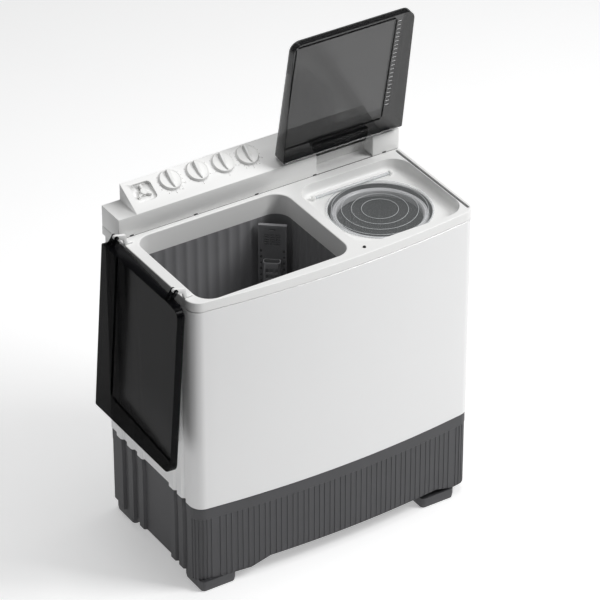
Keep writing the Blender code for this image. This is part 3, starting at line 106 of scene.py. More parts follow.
target = corner + Vector((0.497, 0.250, 0.674))
camera = bpy.data.objects.new("camera", bpy.data.cameras.new("camera"))
camera.data.lens = 232
camera.data.clip_end = 100
camera.location = corner + Vector((-4.380, -7.440, 6.639))
camera.rotation_euler = (camera.location - target).to_track_quat("Z", "Y").to_euler()
scene.collection.objects.link(camera)
scene.camera = camera
soft_light("key_light", (4.35, -3.04, 5.57), 300, 2.6)
soft_light("overhead_light", (0.6, 0.4, 4.6), 84, 3.0)
world = bpy.data.worlds.new("even_fill")
world.use_nodes = True
world.node_tree.nodes["Background"].inputs["Color"].default_value = linear("F4F6F8")
world.node_tree.nodes["Background"].inputs["Strength"].default_value = 0.08
scene.world = world

# Floor: matt white studio board, lit to near white, with only a trace of mottling in it.
board, tree, place = new_finish("matt_white_board", Emission_Color=linear("FFFFFF"), Emission_Strength=0.40)
mottle = node(tree, "TexNoise", {"Vector": place, "Scale": 3.0, "Detail": 2.0})
tone = node(tree, "Mix", {0: mottle.outputs[0], 6: linear("F8F8F8"), 7: linear("F5F5F5")}, data_type="RGBA")
matt = node(tree, "MapRange", {0: mottle.outputs[0], 3: 0.85, 4: 0.95})
dress(tree, tone.outputs[2], matt.outputs[0], mottle.outputs[0], 0.02)
bm = bmesh.new()
bmesh.ops.create_grid(bm, x_segments=4, y_segments=4, size=30)
mesh = bpy.data.meshes.new("studio_floor")
bm.to_mesh(mesh)
bm.free()
mesh.materials.append(board)
floor = bpy.data.objects.new("studio_floor", mesh)
scene.collection.objects.link(floor)

# Cabinet: one sheet of steel wrapped round the front and both sides, with a bowed front, round corners
# and five pressed pilasters down each side. Stove enamel leaves a satin white with a faint orange peel.
CORNER = 0.040
BOW = 0.0275
PILASTERS = (0.096, 0.140, 0.315, 0.372, 0.430)
PILASTER_FACE, PILASTER_FOOT, PRESSED = 0.012, 0.017, 0.008  # two half widths and the depth
SHEET, FLANGE = 0.0025, 0.026
CREASE = 35  # degrees: a flatter edge is shaded smooth
PLINTH_TOP, SKIRT_LOW, DECK_TOP = 0.280, 0.935, 0.965


def moulded(name, base, shade, roughness, relief, grain, drift, **sockets):
    """A finish that drifts slowly between two tones and has an even grain, both sized in millimetres."""
    # The real grain is a few tenths of a millimetre. It is drawn coarser, so that it shows.
    made, tree, place = new_finish(name, **sockets)
    slow = node(tree, "TexNoise", {"Vector": place, "Scale": 1000 / drift, "Detail": 3.0})
    tone = node(tree, "Mix", {0: slow.outputs[0], 6: linear(base), 7: linear(shade)}, data_type="RGBA")
    fine = node(tree, "TexNoise", {"Vector": place, "Scale": 1000 / grain, "Detail": 2.0})
    spread = {0: fine.outputs[0], 1: 0.3, 2: 0.7, 3: roughness - 0.04, 4: roughness + 0.06}
    rough = node(tree, "MapRange", spread)
    dress(tree, tone.outputs[2], rough.outputs[0], fine.outputs[0], relief)
    return made


def arc(x, y, radius, start, end, steps=10):
    """Points round an arc, from one angle to another in degrees."""
    turns = [radians(start + (end - start) * i / steps) for i in range(steps + 1)]
    return [(x + radius * cos(t), y + radius * sin(t)) for t in turns]


def bowed_front(inset):
    """The front's plan from the left side to the right: a round corner, a shallow bow, a corner."""
    chord = WIDTH / 2 - CORNER
    radius = (chord**2 + BOW**2) / (2 * BOW)
    lean = degrees(asin(chord / radius))
    left = arc(CORNER, CORNER, CORNER - inset, 180, 270 - lean)
    bow = arc(WIDTH / 2, radius - BOW, radius - inset, 270 - lean, 270 + lean, 24)
    return left + bow[1:-1] + arc(WIDTH - CORNER, CORNER, CORNER - inset, 270 + lean, 360)


def ridged_plan(inset, rear):
    """The plan from the rear left corner round the front to the rear right, with both sides' pilasters."""
    deep = PRESSED + inset
    side = [(deep, rear)]
    for y in reversed(PILASTERS):
        side += [(deep, y + PILASTER_FOOT), (inset, y + PILASTER_FACE)]
        side += [(inset, y - PILASTER_FACE), (deep, y - PILASTER_FOOT)]
    side += [(deep, 0.065), (inset, 0.060)]
    return side + bowed_front(inset) + [(WIDTH - x, y) for x, y in reversed(side)]


def skin(bm, sections, closed=True):
    """Walls through outlines, each drawn out of the one before. It returns each outline's edges."""
    points, z = sections[0]
    ring = [bm.verts.new((x, y, z)) for x, y in points]
    ends = zip(ring, ring[1:] + ring[:1] if closed else ring[1:])
    rings = [[bm.edges.new(pair) for pair in ends]]
    for points, z in sections[1:]:
        drawn = bmesh.ops.extrude_edge_only(bm, edges=rings[-1])["geom"]
        fresh = {v for v in drawn if isinstance(v, bmesh.types.BMVert)}
        ring = [next(e.other_vert(v) for e in v.link_edges if e.other_vert(v) in fresh) for v in ring]
        for v, (x, y) in zip(ring, points):
            v.co = (x, y, z)
        rings.append([e for e in drawn if isinstance(e, bmesh.types.BMEdge) and fresh.issuperset(e.verts)])
    return rings


def soften(bm, edges, width, segments=2):
    """Rounds these edges by this width."""
    bmesh.ops.bevel(
        bm, geom=edges, offset=width, segments=segments, profile=0.5, affect="EDGES", material=-1
    )


def outward(bm):
    """Merges doubled points, then turns the faces outwards."""
    bmesh.ops.remove_doubles(bm, verts=bm.verts, dist=1e-5)
    bmesh.ops.recalc_face_normals(bm, faces=bm.faces)


def walled(bm, wall):
    """Gives an open skin this thickness, inwards."""
    outward(bm)
    bmesh.ops.solidify(bm, geom=bm.faces[:], thickness=wall)


def piece(bm, name, finish, body, slot, *stands_for):
    """The finished object, placed on the machine. It rides on a body and stands for these CAD nodes."""
    bmesh.ops.translate(bm, verts=bm.verts, vec=corner)
    mesh = bpy.data.meshes.new(name)
    bm.to_mesh(mesh)
    bm.free()
    mesh.shade_smooth()
    mesh.set_sharp_from_angle(angle=radians(CREASE))
    mesh.materials.append(finish)
    made = bpy.data.objects.new(name, mesh)
    scene.collection.objects.link(made)
    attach(made, body)
    if stands_for:
        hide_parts(*stands_for)


enamel = moulded("white_stove_enamel", "EFEFEF", "EBEBEB", 0.34, 0.03, grain=5, drift=400, Coat_Weight=0.15)
bm = bmesh.new()
levels = [(0.002, PLINTH_TOP + 0.0003), (0, PLINTH_TOP + 0.0023)]
levels += [(0, SKIRT_LOW - 0.0025), (0.002, SKIRT_LOW - 0.0005)]
sections = []
for inset, z in levels:
    plan = [(FLANGE, DEPTH)] + ridged_plan(inset, DEPTH) + [(WIDTH - FLANGE, DEPTH)]
    sections.append((plan, z))
skin(bm, sections, closed=False)
upright = [e for e in bm.edges if abs(e.verts[0].co.z - e.verts[1].co.z) > 0.001 and len(e.link_faces) == 2]
soften(bm, [e for e in upright if e.calc_face_angle() > radians(14)], 0.0022, 3)
walled(bm, SHEET)
piece(bm, "cabinet_wrap", enamel, "cabinet", "white_paint", "front_cabinet")

# Plinth: a deep tray moulded in charcoal polypropylene, matt and faintly grained, under the cabinet.
# Fine upright ribs, unevenly spaced, run below a smooth top band. The underside arches between the feet.
PLINTH_LOW, PLINTH_WALL = 0.034, 0.002
BAND_LOW = 0.243
RIB_PITCH = 0.0075
GROOVES_END = 0.040  # no groove is further back than this
ARCH_LEFT, ARCH_RIGHT, ARCH_RISE, ARCH_RAMP = 0.170, 0.860, 0.020, 0.060


def divided(points):
    """The outline with points added about a rib apart, unevenly, so that ribs fall between them."""
    out = []
    for i, (a, b) in enumerate(zip(points, points[1:] + points[:1])):
        a, b = Vector(a), Vector(b)
        run = (b - a).length
        count = max(1, round(run / RIB_PITCH / 2) * 2) if run > RIB_PITCH * 1.5 else 1
        for k in range(count):
            shift = 0.22 * sin(2.3 * k + i) if 0 < k else 0
            out.append(tuple(a + (b - a) * (k + shift) / count))
    return out


charcoal = moulded("charcoal_polypropylene", "47474A", "404042", 0.52, 0.06, grain=1.6, drift=90)
bm = bmesh.new()
ribbed = divided(ridged_plan(0.003, DEPTH - 0.003))
skin(bm, [(ribbed, PLINTH_LOW), (ribbed, BAND_LOW)])
bmesh.ops.recalc_face_normals(bm, faces=bm.faces)
bm.verts.index_update()
wide = [f for f in bm.faces if min(f.edges, key=lambda e: e.calc_length()).calc_length() > 0.005]
wide = [f for f in wide if f.calc_center_median().y < GROOVES_END]
grooved = [f for f in wide if min(v.index for v in f.verts) % 2]
bmesh.ops.inset_individual(bm, faces=grooved, thickness=0.0012, depth=-0.0016)
for v in bm.verts:
    if v.co.z < PLINTH_LOW + 0.004:
        v.co.z += ARCH_RISE * min(1, max(0, min(v.co.x - ARCH_LEFT, ARCH_RIGHT - v.co.x) / ARCH_RAMP))
bottom = [e for e in bm.edges if e.is_boundary and max(v.co.z for v in e.verts) < 0.06]
bmesh.ops.triangle_fill(bm, use_beauty=True, edges=bottom)
band = [(0.003, BAND_LOW), (0.0018, BAND_LOW + 0.0015), (0.0018, PLINTH_TOP - 0.002)]
band += [(0.0035, PLINTH_TOP - 0.0003), (0.014, PLINTH_TOP - 0.0003)]
skin(bm, [(divided(ridged_plan(inset, DEPTH - 0.003)), z) for inset, z in band])
walled(bm, PLINTH_WALL)
piece(bm, "ribbed_plinth", charcoal, "cabinet", "charcoal_plastic", "base_plinth")

# Feet: four blocks of the same charcoal polypropylene, screwed up into the plinth's corners, each with a
# narrower sole and a softened edge round it.
FOOT_ROUND = 0.014


def rounded(x0, y0, x1, y1, radius, grow, steps=8):
    """A rectangle with round corners, grown outwards."""
    x0, y0, x1, y1, radius = x0 - grow, y0 - grow, x1 + grow, y1 + grow, radius + grow
    return (
        arc(x0 + radius, y0 + radius, radius, 180, 270, steps)
        + arc(x1 - radius, y0 + radius, radius, 270, 360, steps)
        + arc(x1 - radius, y1 - radius, radius, 0, 90, steps)
        + arc(x0 + radius, y1 - radius, radius, 90, 180, steps)
    )


for name in ("foot_front_left", "foot_front_right", "foot_rear_left", "foot_rear_right"):
    low, high = [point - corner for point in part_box(name)]
    bm = bmesh.new()
    levels = [(-0.0040, 0), (-0.0025, 0.0012), (-0.0005, 0.0110), (0, 0.0125), (0, high.z)]
    rings = skin(bm, [(rounded(low.x, low.y, high.x, high.y, FOOT_ROUND, grow), z) for grow, z in levels])
    for ring in (rings[0], rings[-1]):
        bmesh.ops.contextual_create(bm, geom=ring)
    outward(bm)
    piece(bm, name + "_block", charcoal, "cabinet", "charcoal_plastic", name)

# Deck: the white polypropylene top moulding, evenly satin. It has a round outer edge and skirt, the
# collar down into the wash tub, the sunken recess over the spin tub and two lugs for the safety cover.
# A matt grey strip laid in the groove down its right rim is painted shade, to darken the groove.
COLLAR_LOW = 0.900
RECESS_FLOOR = 0.930
WASH = (0.034, 0.004, 0.514, 0.376, 0.050)
RECESS = (0.545, 0.015, 0.900, 0.362, 0.060)
GROOVE = (0.9022, 0.020, 0.9110, 0.388, 0.0040)
SPIN_X, SPIN_Y, SPIN_HOLE = 0.7225, 0.1885, 0.147
COVER_Y, COVER_Z, LUG_MIDDLE = 0.331, RECESS_FLOOR + 0.0062, 0.1293


def lip(radius, top, steps=4):
    """A round edge from flat to upright, as (distance out from the upright face, height)."""
    turns = [i * pi / 2 / steps for i in range(steps + 1)]
    return [(radius * (1 - sin(t)), top - radius * (1 - cos(t))) for t in turns]


def fillet(radius, floor, steps=4):
    """A hollow's round foot from upright to flat, as (distance out from the upright face, height)."""
    turns = [i * pi / 2 / steps for i in range(steps + 1)]
    return [(-radius * (1 - cos(t)), floor + radius * (1 - sin(t))) for t in turns]


def circle(radius, x=SPIN_X, y=SPIN_Y, steps=96):
    """A ring of points, about the spin tub's axis unless another is given."""
    return arc(x, y, radius, 0, 360, steps)[:-1]


def deck_plan(inset):
    """The deck's outline: straight sides and back, and the cabinet's bowed front."""
    return [(inset, DEPTH - inset)] + bowed_front(inset) + [(WIDTH - inset, DEPTH - inset)]


def block(bm, low, high, soft):
    """A block between two corners, its edges softened."""
    low, high = Vector(low), Vector(high)
    place = Matrix.Translation((low + high) / 2) @ Matrix.Diagonal((*(high - low), 1))
    verts = set(bmesh.ops.create_cube(bm, size=1, matrix=place)["verts"])
    soften(bm, [e for e in bm.edges if verts.issuperset(e.verts)], soft)


white = moulded("white_polypropylene", "F0F0EF", "EBEBEA", 0.40, 0.03, grain=2.0, drift=220)
bm = bmesh.new()
outer = [(0.0036, DECK_TOP)] + lip(0.003, DECK_TOP)
outer += [(0, SKIRT_LOW + 0.002), (0.002, SKIRT_LOW), (0.004, SKIRT_LOW), (0.004, DECK_TOP - 0.008)]
outer_rings = skin(bm, [(deck_plan(inset), z) for inset, z in outer])
wash = [(0.0038, DECK_TOP)] + lip(0.003, DECK_TOP)
wash += [(0, COLLAR_LOW), (0.003, COLLAR_LOW), (0.003, DECK_TOP - 0.008)]
wash_rings = skin(bm, [(rounded(*WASH, grow), z) for grow, z in wash])
recess = [(0.0018, DECK_TOP)] + lip(0.0015, DECK_TOP)
recess += fillet(0.014, RECESS_FLOOR) + [(-0.0155, RECESS_FLOOR)]
recess_rings = skin(bm, [(rounded(*RECESS, grow), z) for grow, z in recess])
groove = [(0.0002, DECK_TOP), (0, DECK_TOP - 0.0004), (-0.0006, DECK_TOP - 0.010)]
groove_rings = skin(bm, [(rounded(*GROOVE, grow), z) for grow, z in groove])
bmesh.ops.contextual_create(bm, geom=groove_rings[-1])
hole = [(0.1510, RECESS_FLOOR), (0.1490, RECESS_FLOOR), (0.1475, RECESS_FLOOR - 0.0006)]
hole += [(SPIN_HOLE, RECESS_FLOOR - 0.002), (SPIN_HOLE, RECESS_FLOOR - 0.0030)]
hole_rings = skin(bm, [(circle(radius), z) for radius, z in hole])
top_edges = outer_rings[0] + wash_rings[0] + recess_rings[0] + groove_rings[0]
bmesh.ops.triangle_fill(bm, use_beauty=True, edges=top_edges)
bmesh.ops.triangle_fill(bm, use_beauty=True, edges=recess_rings[-1] + hole_rings[0])
outward(bm)
for side in (-1, 1):
    middle = SPIN_X + side * LUG_MIDDLE
    foot = (middle - 0.0047, COVER_Y - 0.006, RECESS_FLOOR - 0.001)
    block(bm, foot, (middle + 0.0047, COVER_Y + 0.006, COVER_Z + 0.006), 0.002)
piece(bm, "deck_moulding", white, "cabinet", "white_plastic", "top_deck")
# Painted shade: a matt grey strip in the right rim's groove stands for the shade down in it.
groove_shade_grey = moulded("groove_painted_shade_grey", "5C5C5E", "525254", 0.70, 0.05, grain=1.5, drift=30)
bm = bmesh.new()
block(bm, (0.9036, 0.0236, 0.9552), (0.9096, 0.3844, 0.9618), 0.0012)
piece(bm, "rim_groove_painted_shade", groove_shade_grey, "cabinet", "black_rubber")

# Wash tub: one deep injection moulding in satin grey polypropylene, hung under the deck's collar. Upright
# ribs pressed inwards stiffen its walls, and the pulsator sits in a round well in its floor.
TUB_TOP, TUB_FLOOR, WELL_FLOOR = 0.8997, 0.3715, 0.3660
TUB_FOOT, TUB_PRESS, TUB_RIB_PITCH, TUB_WALL = 0.022, 0.002, 0.034, 0.003
WASH_X, WASH_Y = 0.274, 0.190


def ribbed_tub_plan(grow, press):
    """The wash opening's outline, grown outwards, with upright ribs pressed this far in."""
    corners = rounded(*WASH, grow)
    count = len(corners) // 4
    out = []
    for side in range(4):
        out += corners[side * count : (side + 1) * count]
        start, end = Vector(out[-1]), Vector(corners[(side + 1) * count % len(corners)])
        along = (end - start).normalized()
        inward = Vector((-along.y, along.x))
        ribs = int((end - start).length / TUB_RIB_PITCH)
        for i in range(ribs):
            middle = start + (end - start) * (i + 0.5) / ribs
            for run, deep in ((-0.0065, 0), (-0.0035, press), (0.0035, press), (0.0065, 0)):
                out.append(tuple(middle + along * run + inward * deep))
    return out


grey = moulded("grey_polypropylene", "8A8A8C", "7E7E80", 0.36, 0.05, grain=2.2, drift=110)
bm = bmesh.new()
walls = [(ribbed_tub_plan(0.0035, 0.0005), TUB_TOP), (ribbed_tub_plan(0.0034, TUB_PRESS), TUB_TOP - 0.012)]
for inset, z in fillet(TUB_FOOT, TUB_FLOOR, 5):
    press = TUB_PRESS * (z - TUB_FLOOR) / TUB_FOOT
    walls.append((ribbed_tub_plan(inset - 0.0025, press), z))
tub_rings = skin(bm, walls)
well = [(0.161, TUB_FLOOR), (0.1585, TUB_FLOOR - 0.001), (0.1565, WELL_FLOOR), (0.0185, WELL_FLOOR)]
well_rings = skin(bm, [(circle(radius, WASH_X, WASH_Y), z) for radius, z in well])
bmesh.ops.triangle_fill(bm, use_beauty=True, edges=tub_rings[-1] + well_rings[0])
walled(bm, TUB_WALL)
piece(bm, "ribbed_wash_tub", grey, "cabinet", "grey_plastic", "wash_tub")

# Overflow cover and lint filter: two more polypropylene mouldings in the tub's rear right corner. The
# cover, in the tub's grey, has louvres and a latch slot. The filter is a windowed pocket, a shade paler,
# that lifts off it.


def softened(name, soft, least):
    """A copy of a CAD solid in the cabinet's frame, its sharp outer edges longer than this rounded."""
    bm = bmesh.new()
    bm.from_mesh(frame["nodes"][name].data)
    bmesh.ops.translate(bm, verts=bm.verts, vec=-corner)
    outward(bm)
    bmesh.ops.dissolve_limit(bm, angle_limit=radians(2), verts=bm.verts, edges=bm.edges)
    outer_edges = [e for e in bm.edges if e.is_manifold and e.is_convex and e.calc_length() > least]
    soften(bm, [e for e in outer_edges if e.calc_face_angle() > radians(30)], soft)
    return bm


bm = softened("overflow_cover", 0.0012, 0.03)
piece(bm, "louvred_cover", grey, "cabinet", "grey_plastic", "overflow_cover")
light_grey = moulded("light_grey_polypropylene", "9C9C9E", "929294", 0.34, 0.03, grain=2.0, drift=60)
bm = softened("lint_filter", 0.0010, 0.02)
piece(bm, "lint_filter_pocket", light_grey, "lint_filter", "grey_plastic", "lint_filter")

# Pulsator: a dished disc with four tapering vanes, moulded in the tub's grey polypropylene, with a
# snapped-in cap over the screw that holds it to the gearbox shaft.
DISH_LOW = 0.377
VANES, VANE_HALF = 4, 0.007


def turned(profile, x, y, soft, steps=96, closed=False):
    """A profile of (radius, height), its corners softened, turned about an upright axis."""
    bm = bmesh.new()
    points = [bm.verts.new((radius, 0, z)) for radius, z in profile]
    for pair in zip(points, points[1:] + points[:1] if closed else points[1:]):
        bm.edges.new(pair)
    bends = [v for v in points if len(v.link_edges) == 2]
    bmesh.ops.bevel(
        bm, geom=bends, offset=soft, segments=2, profile=0.5, affect="VERTICES", material=-1
    )
    bmesh.ops.spin(
        bm,
        geom=bm.verts[:] + bm.edges[:],
        cent=(0, 0, 0),
        axis=(0, 0, 1),
        angle=2 * pi,
        steps=steps,
        use_merge=True,
    )
    bmesh.ops.translate(bm, verts=bm.verts, vec=(x, y, 0))
    outward(bm)
    return bm


def plate(bm, points, thickness, soft, matrix=Matrix()):
    """A flat outline of 3-D points drawn out along a vector, its edges softened, then placed."""
    verts = [bm.verts.new(point) for point in points]
    face = bmesh.ops.contextual_create(bm, geom=verts)["faces"]
    drawn = bmesh.ops.extrude_face_region(bm, geom=face)["geom"]
    verts += [v for v in drawn if isinstance(v, bmesh.types.BMVert)]
    bmesh.ops.translate(bm, verts=verts[len(points) :], vec=thickness)
    bmesh.ops.transform(bm, verts=verts, matrix=matrix)
    soften(bm, list({e for v in verts for e in v.link_edges}), soft)


dish = [(0, DISH_LOW + 0.022), (0.030, DISH_LOW + 0.018), (0.090, DISH_LOW + 0.006)]
dish += [(0.150, DISH_LOW + 0.012), (0.150, DISH_LOW + 0.004), (0.090, DISH_LOW), (0.0088, DISH_LOW)]
bm = turned(dish, WASH_X, WASH_Y, 0.0012)
for turn in range(VANES):
    spoke = Matrix.Translation((WASH_X, WASH_Y, DISH_LOW)) @ Matrix.Rotation(turn * 2 * pi / VANES, 4, "Z")
    vane = [(0.012, 0.003), (0.138, 0.003), (0.130, 0.018), (0.040, 0.034), (0.012, 0.034)]
    plate(bm, [(x, -VANE_HALF, z) for x, z in vane], (0, 2 * VANE_HALF, 0), 0.004, spoke)
for radius, top in ((0.0142, DISH_LOW + 0.0363), (0.0100, DISH_LOW + 0.0423)):
    mesh = bpy.data.meshes.new("snap_cap")
    button = [(0, top), (radius, top - 0.0010), (radius, DISH_LOW + 0.0330)]
    cap = turned(button, WASH_X, WASH_Y, 0.0006, 48)
    cap.to_mesh(mesh)
    cap.free()
    bm.from_mesh(mesh)
piece(bm, "vaned_pulsator", grey, "pulsator", "grey_plastic", "pulsator", "pulsator_cap")

# Spin tub and basket: the outer tub is a plain grey drum under the recess. The basket turns inside it: a
# slotted drum with a cone over its shaft, and a grooved balance ring welded to its rim. All three are
# polypropylene, the ring pale. The basket is drawn in a much darker copy of the grey: painted shade for
# the dark inside of the spin tub.
SPIN_LOW, BASKET_LOW, BASKET_TOP = 0.400, 0.445, 0.899
BASKET_RADIUS, BASKET_WALL = 0.136, 0.003
SLOT_ROWS, ROW_PITCH, ROW_HALF, SLOT_MARGIN = 3, 0.1313, 0.0394, 0.0042
COLUMNS = 60  # of faces round the drum, every second one with slots
outer_tub = [(0.0305, SPIN_LOW), (0.166, SPIN_LOW), (0.166, 0.9265), (0.162, 0.9265)]
outer_tub += [(0.162, SPIN_LOW + 0.004), (0.0305, SPIN_LOW + 0.004)]
bm = turned(outer_tub, SPIN_X, SPIN_Y, 0.0015, closed=True)
piece(bm, "spin_drum_tub", grey, "cabinet", "grey_plastic", "spin_outer_tub")

# Painted shade: a much darker copy of the tub's grey for the basket, for the shade inside the spin tub.
shaded_grey = moulded("grey_polypropylene_painted_shade", "4E4E50", "464648", 0.34, 0.04, grain=2.0, drift=70)
basket = [(0.0090, BASKET_LOW + 0.050), (0.020, BASKET_LOW + 0.047), (0.038, BASKET_LOW)]
basket += [(0.124, BASKET_LOW), (0.1325, BASKET_LOW + 0.0035), (BASKET_RADIUS, BASKET_LOW + 0.012)]
row_middles = [BASKET_LOW + 0.040 + ROW_PITCH * (row + 0.5) for row in range(SLOT_ROWS)]
for middle in row_middles:
    basket += [(BASKET_RADIUS, middle - ROW_HALF), (BASKET_RADIUS, middle + ROW_HALF)]
basket.append((BASKET_RADIUS, BASKET_TOP))
bm = turned(basket, SPIN_X, SPIN_Y, 0.0002, COLUMNS)
slots = []
for f in bm.faces:
    centre = f.calc_center_median()
    column = round(degrees(atan2(centre.y - SPIN_Y, centre.x - SPIN_X)) * COLUMNS / 360 + 0.5)
    if column % 2 == 0 and min(abs(centre.z - middle) for middle in row_middles) < 0.005:
        slots.append(f)
bmesh.ops.inset_individual(bm, faces=slots, thickness=SLOT_MARGIN)
bmesh.ops.delete(bm, geom=slots, context="FACES")
walled(bm, BASKET_WALL)
piece(bm, "slotted_basket", shaded_grey, "spin_rotor", "grey_plastic", "spin_basket")

pale_grey = moulded("pale_grey_polypropylene", "C6C6C8", "BCBCBE", 0.34, 0.03, grain=2.0, drift=70)
ring = [(0.122, 0.8993), (0.139, 0.8993), (0.139, 0.9163), (0.133, 0.9213), (0.1315, 0.9213)]
ring += [(0.1308, 0.9200), (0.1292, 0.9200), (0.1285, 0.9213), (0.126, 0.9213), (0.122, 0.9170)]
bm = turned(ring, SPIN_X, SPIN_Y, 0.0005, closed=True)
piece(bm, "grooved_balance_ring", pale_grey, "spin_rotor", "grey_plastic", "balance_ring")

# Safety cover: a clear, glossy polystyrene disc over the basket, stiffened by raised rings, and hinged
# along its straight back edge on a thicker barrel whose ends turn in the deck's two lugs. The rings, the
# barrel and the front tab share a whiter, less clear copy of the polystyrene: painted sheen for the light
# that catches the rings' edges.
COVER_LOW, COVER_TOP, COVER_RADIUS = 0.9303, 0.9333, 0.1518
HOOPS = ((0.1500, 0.0018), (0.136, 0.0010), (0.108, 0.0010), (0.080, 0.0010), (0.052, 0.0010))
BARREL_HALF, PINS_HALF, BAR_SIDES = 0.1238, 0.1318, 24
clear = moulded("clear_polystyrene", "F2F5F6", "E6EBEC", 0.10, 0.01, grain=6, drift=80, Alpha=0.07, IOR=1.59)


def bar(bm, start, end, radius, soft):
    """A round bar between two points, its ends softened."""
    start, end = Vector(start), Vector(end)
    turn = Vector((0, 0, 1)).rotation_difference(end - start).to_matrix().to_4x4()
    made = bmesh.ops.create_cone(
        bm,
        cap_ends=True,
        segments=BAR_SIDES,
        radius1=radius,
        radius2=radius,
        depth=(end - start).length,
        matrix=Matrix.Translation((start + end) / 2) @ turn,
    )
    verts = set(made["verts"])
    caps = [f for f in bm.faces if len(f.verts) == BAR_SIDES and verts.issuperset(f.verts)]
    soften(bm, [e for f in caps for e in f.edges], soft)


def trimmed(bm):
    """Cuts the round moulding straight along the hinge line and closes the cut."""
    everything = bm.verts[:] + bm.edges[:] + bm.faces[:]
    hinge_line = (0, COVER_Y, 0)
    bmesh.ops.bisect_plane(bm, geom=everything, plane_co=hinge_line, plane_no=(0, 1, 0), clear_outer=True)
    bmesh.ops.triangle_fill(bm, use_beauty=True, edges=[e for e in bm.edges if e.is_boundary])
    return bm


disc = [(0, COVER_LOW), (COVER_RADIUS, COVER_LOW), (COVER_RADIUS, COVER_TOP), (0, COVER_TOP)]
bm = trimmed(turned(disc, SPIN_X, SPIN_Y, 0.0003))
piece(bm, "clear_safety_disc", clear, "safety_cover", "clear_plastic", "spin_safety_cover")
# Painted sheen: a whiter, less clear copy of the polystyrene for the rings, barrel and tab, for the light
# their edges catch.
sheen_polystyrene = moulded(
    "polystyrene_painted_sheen", "F4F6F7", "E2E6E8", 0.22, 0.02, grain=3, drift=60, Alpha=0.34, IOR=1.59
)
bm = bmesh.new()
for radius, half in HOOPS:
    hoop = [(radius - half, COVER_TOP + 0.0002), (radius + half, COVER_TOP + 0.0002)]
    hoop += [(radius + half * 0.6, COVER_TOP + 0.0014), (radius - half * 0.6, COVER_TOP + 0.0014)]
    mesh = bpy.data.meshes.new("raised_hoop")
    made = trimmed(turned(hoop, SPIN_X, SPIN_Y, 0.0002, closed=True))
    made.to_mesh(mesh)
    made.free()
    bm.from_mesh(mesh)
for half, radius, soft in ((BARREL_HALF, 0.0049, 0.0008), (PINS_HALF, 0.0030, 0.0005)):
    bar(bm, (SPIN_X - half, COVER_Y, COVER_Z), (SPIN_X + half, COVER_Y, COVER_Z), radius, soft)
block(bm, (SPIN_X - 0.015, 0.0268, COVER_LOW + 0.0005), (SPIN_X + 0.015, 0.0462, COVER_LOW + 0.006), 0.0015)
piece(bm, "cover_hoops_painted_sheen", sheen_polystyrene, "safety_cover", "clear_plastic")

# Console: a white polypropylene housing with a sloping fascia over a flat step, a notch for the spin
# lid's hinge and a pocket for the inlet lever. A plain cover closes its back. Where it snaps onto the
# deck, a black strip along its foot and five black blocks in its clip mouths are painted shadow in the
# joint and the openings.
CONSOLE_FRONT, CONSOLE_TOP = 0.392, 1.029
SLOPE = atan2(0.051, DEPTH - CONSOLE_FRONT)
CLIPS = (0.040, 0.245, 0.444, 0.636, 0.870)


def on_slope(x, up):
    """A frame on the console's fascia: x along it, y up it, z out of it."""
    place = Matrix.Translation((x, CONSOLE_FRONT + up * cos(SLOPE), CONSOLE_TOP + up * sin(SLOPE)))
    return place @ Matrix.Rotation(SLOPE, 4, "X")


bm = softened("console_housing", 0.0011, 0.03)
piece(bm, "console_moulding", white, "cabinet", "white_plastic", "console_housing")

# One black finish serves the real black plastic parts and the painted shadow at the console's foot.
black = moulded("black_plastic_and_painted_shadow", "1C1C1D", "242425", 0.45, 0.04, grain=1.8, drift=60)
bm = bmesh.new()
# Painted shadow: five black blocks for the clip mouths and a long black strip where the console meets the
# deck.
for x in CLIPS:
    block(bm, (x - 0.006, CONSOLE_FRONT - 0.0004, 0.9662), (x + 0.006, CONSOLE_FRONT + 0.002, 0.9696), 0.0003)
block(bm, (0.004, CONSOLE_FRONT - 0.0003, 0.9650), (WIDTH - 0.004, CONSOLE_FRONT + 0.002, 0.9658), 0.0002)
piece(bm, "console_foot_painted_shadow", black, "cabinet", "black_plastic")

# Dial printing: grey pad-printed ink on the fascia, with a ring of ticks round each dial, figures for
# minutes round the two timers, and short bars for the settings of the two switches.
KNOBS = {"wash_timer_knob": 0.200, "wash_mode_knob": 0.288, "drain_knob": 0.371, "spin_timer_knob": 0.450}
KNOB_UP = 0.069
TICK_RADIUS, FIGURE_RADIUS, FIGURE_HEIGHT = 0.0375, 0.0435, 0.0062
FIGURES = {"wash_timer_knob": ("3", "6", "9", "12", "15"), "spin_timer_knob": ("1", "2", "3", "4", "5")}


def lettering(bm, words, place, height):
    """Raised characters, centred on a place."""
    text = bpy.data.curves.new("dial_figure", "FONT")
    text.body = words
    text.size = height
    text.align_x = "CENTER"
    text.align_y = "CENTER"
    text.extrude = 0.0001
    holder = bpy.data.objects.new("dial_figure", text)
    scene.collection.objects.link(holder)
    graph = bpy.context.evaluated_depsgraph_get()
    flat = bpy.data.meshes.new_from_object(holder.evaluated_get(graph))
    flat.transform(place)
    bm.from_mesh(flat)
    bpy.data.objects.remove(holder)


ink = moulded("grey_pad_printing_ink", "8A8784", "7C7975", 0.55, 0.01, grain=1.2, drift=40)
bm = bmesh.new()
for name, x in KNOBS.items():
    timer = name in FIGURES
    for step in range(13 if timer else 5):
        turn = radians(150 + step * (20 if timer else 60))
        radial = Matrix.Rotation(turn, 4, "Z") @ Matrix.Translation((TICK_RADIUS, 0, 0.0001))
        size = Matrix.Diagonal((0.0035 if timer else 0.0045, 0.0008, 0.0003, 1))
        bmesh.ops.create_cube(bm, size=1, matrix=on_slope(x, KNOB_UP) @ radial @ size)
    figures = FIGURES.get(name, ("-", "=", "-"))
    for step, figure in enumerate(figures):
        turn = radians(210 + step * 120 / (len(figures) - 1))
        spot = Matrix.Translation((FIGURE_RADIUS * cos(turn), FIGURE_RADIUS * sin(turn), 0.0001))
        lettering(bm, figure, on_slope(x, KNOB_UP) @ spot, FIGURE_HEIGHT)
piece(bm, "dial_printing", ink, "cabinet", "grey_plastic")

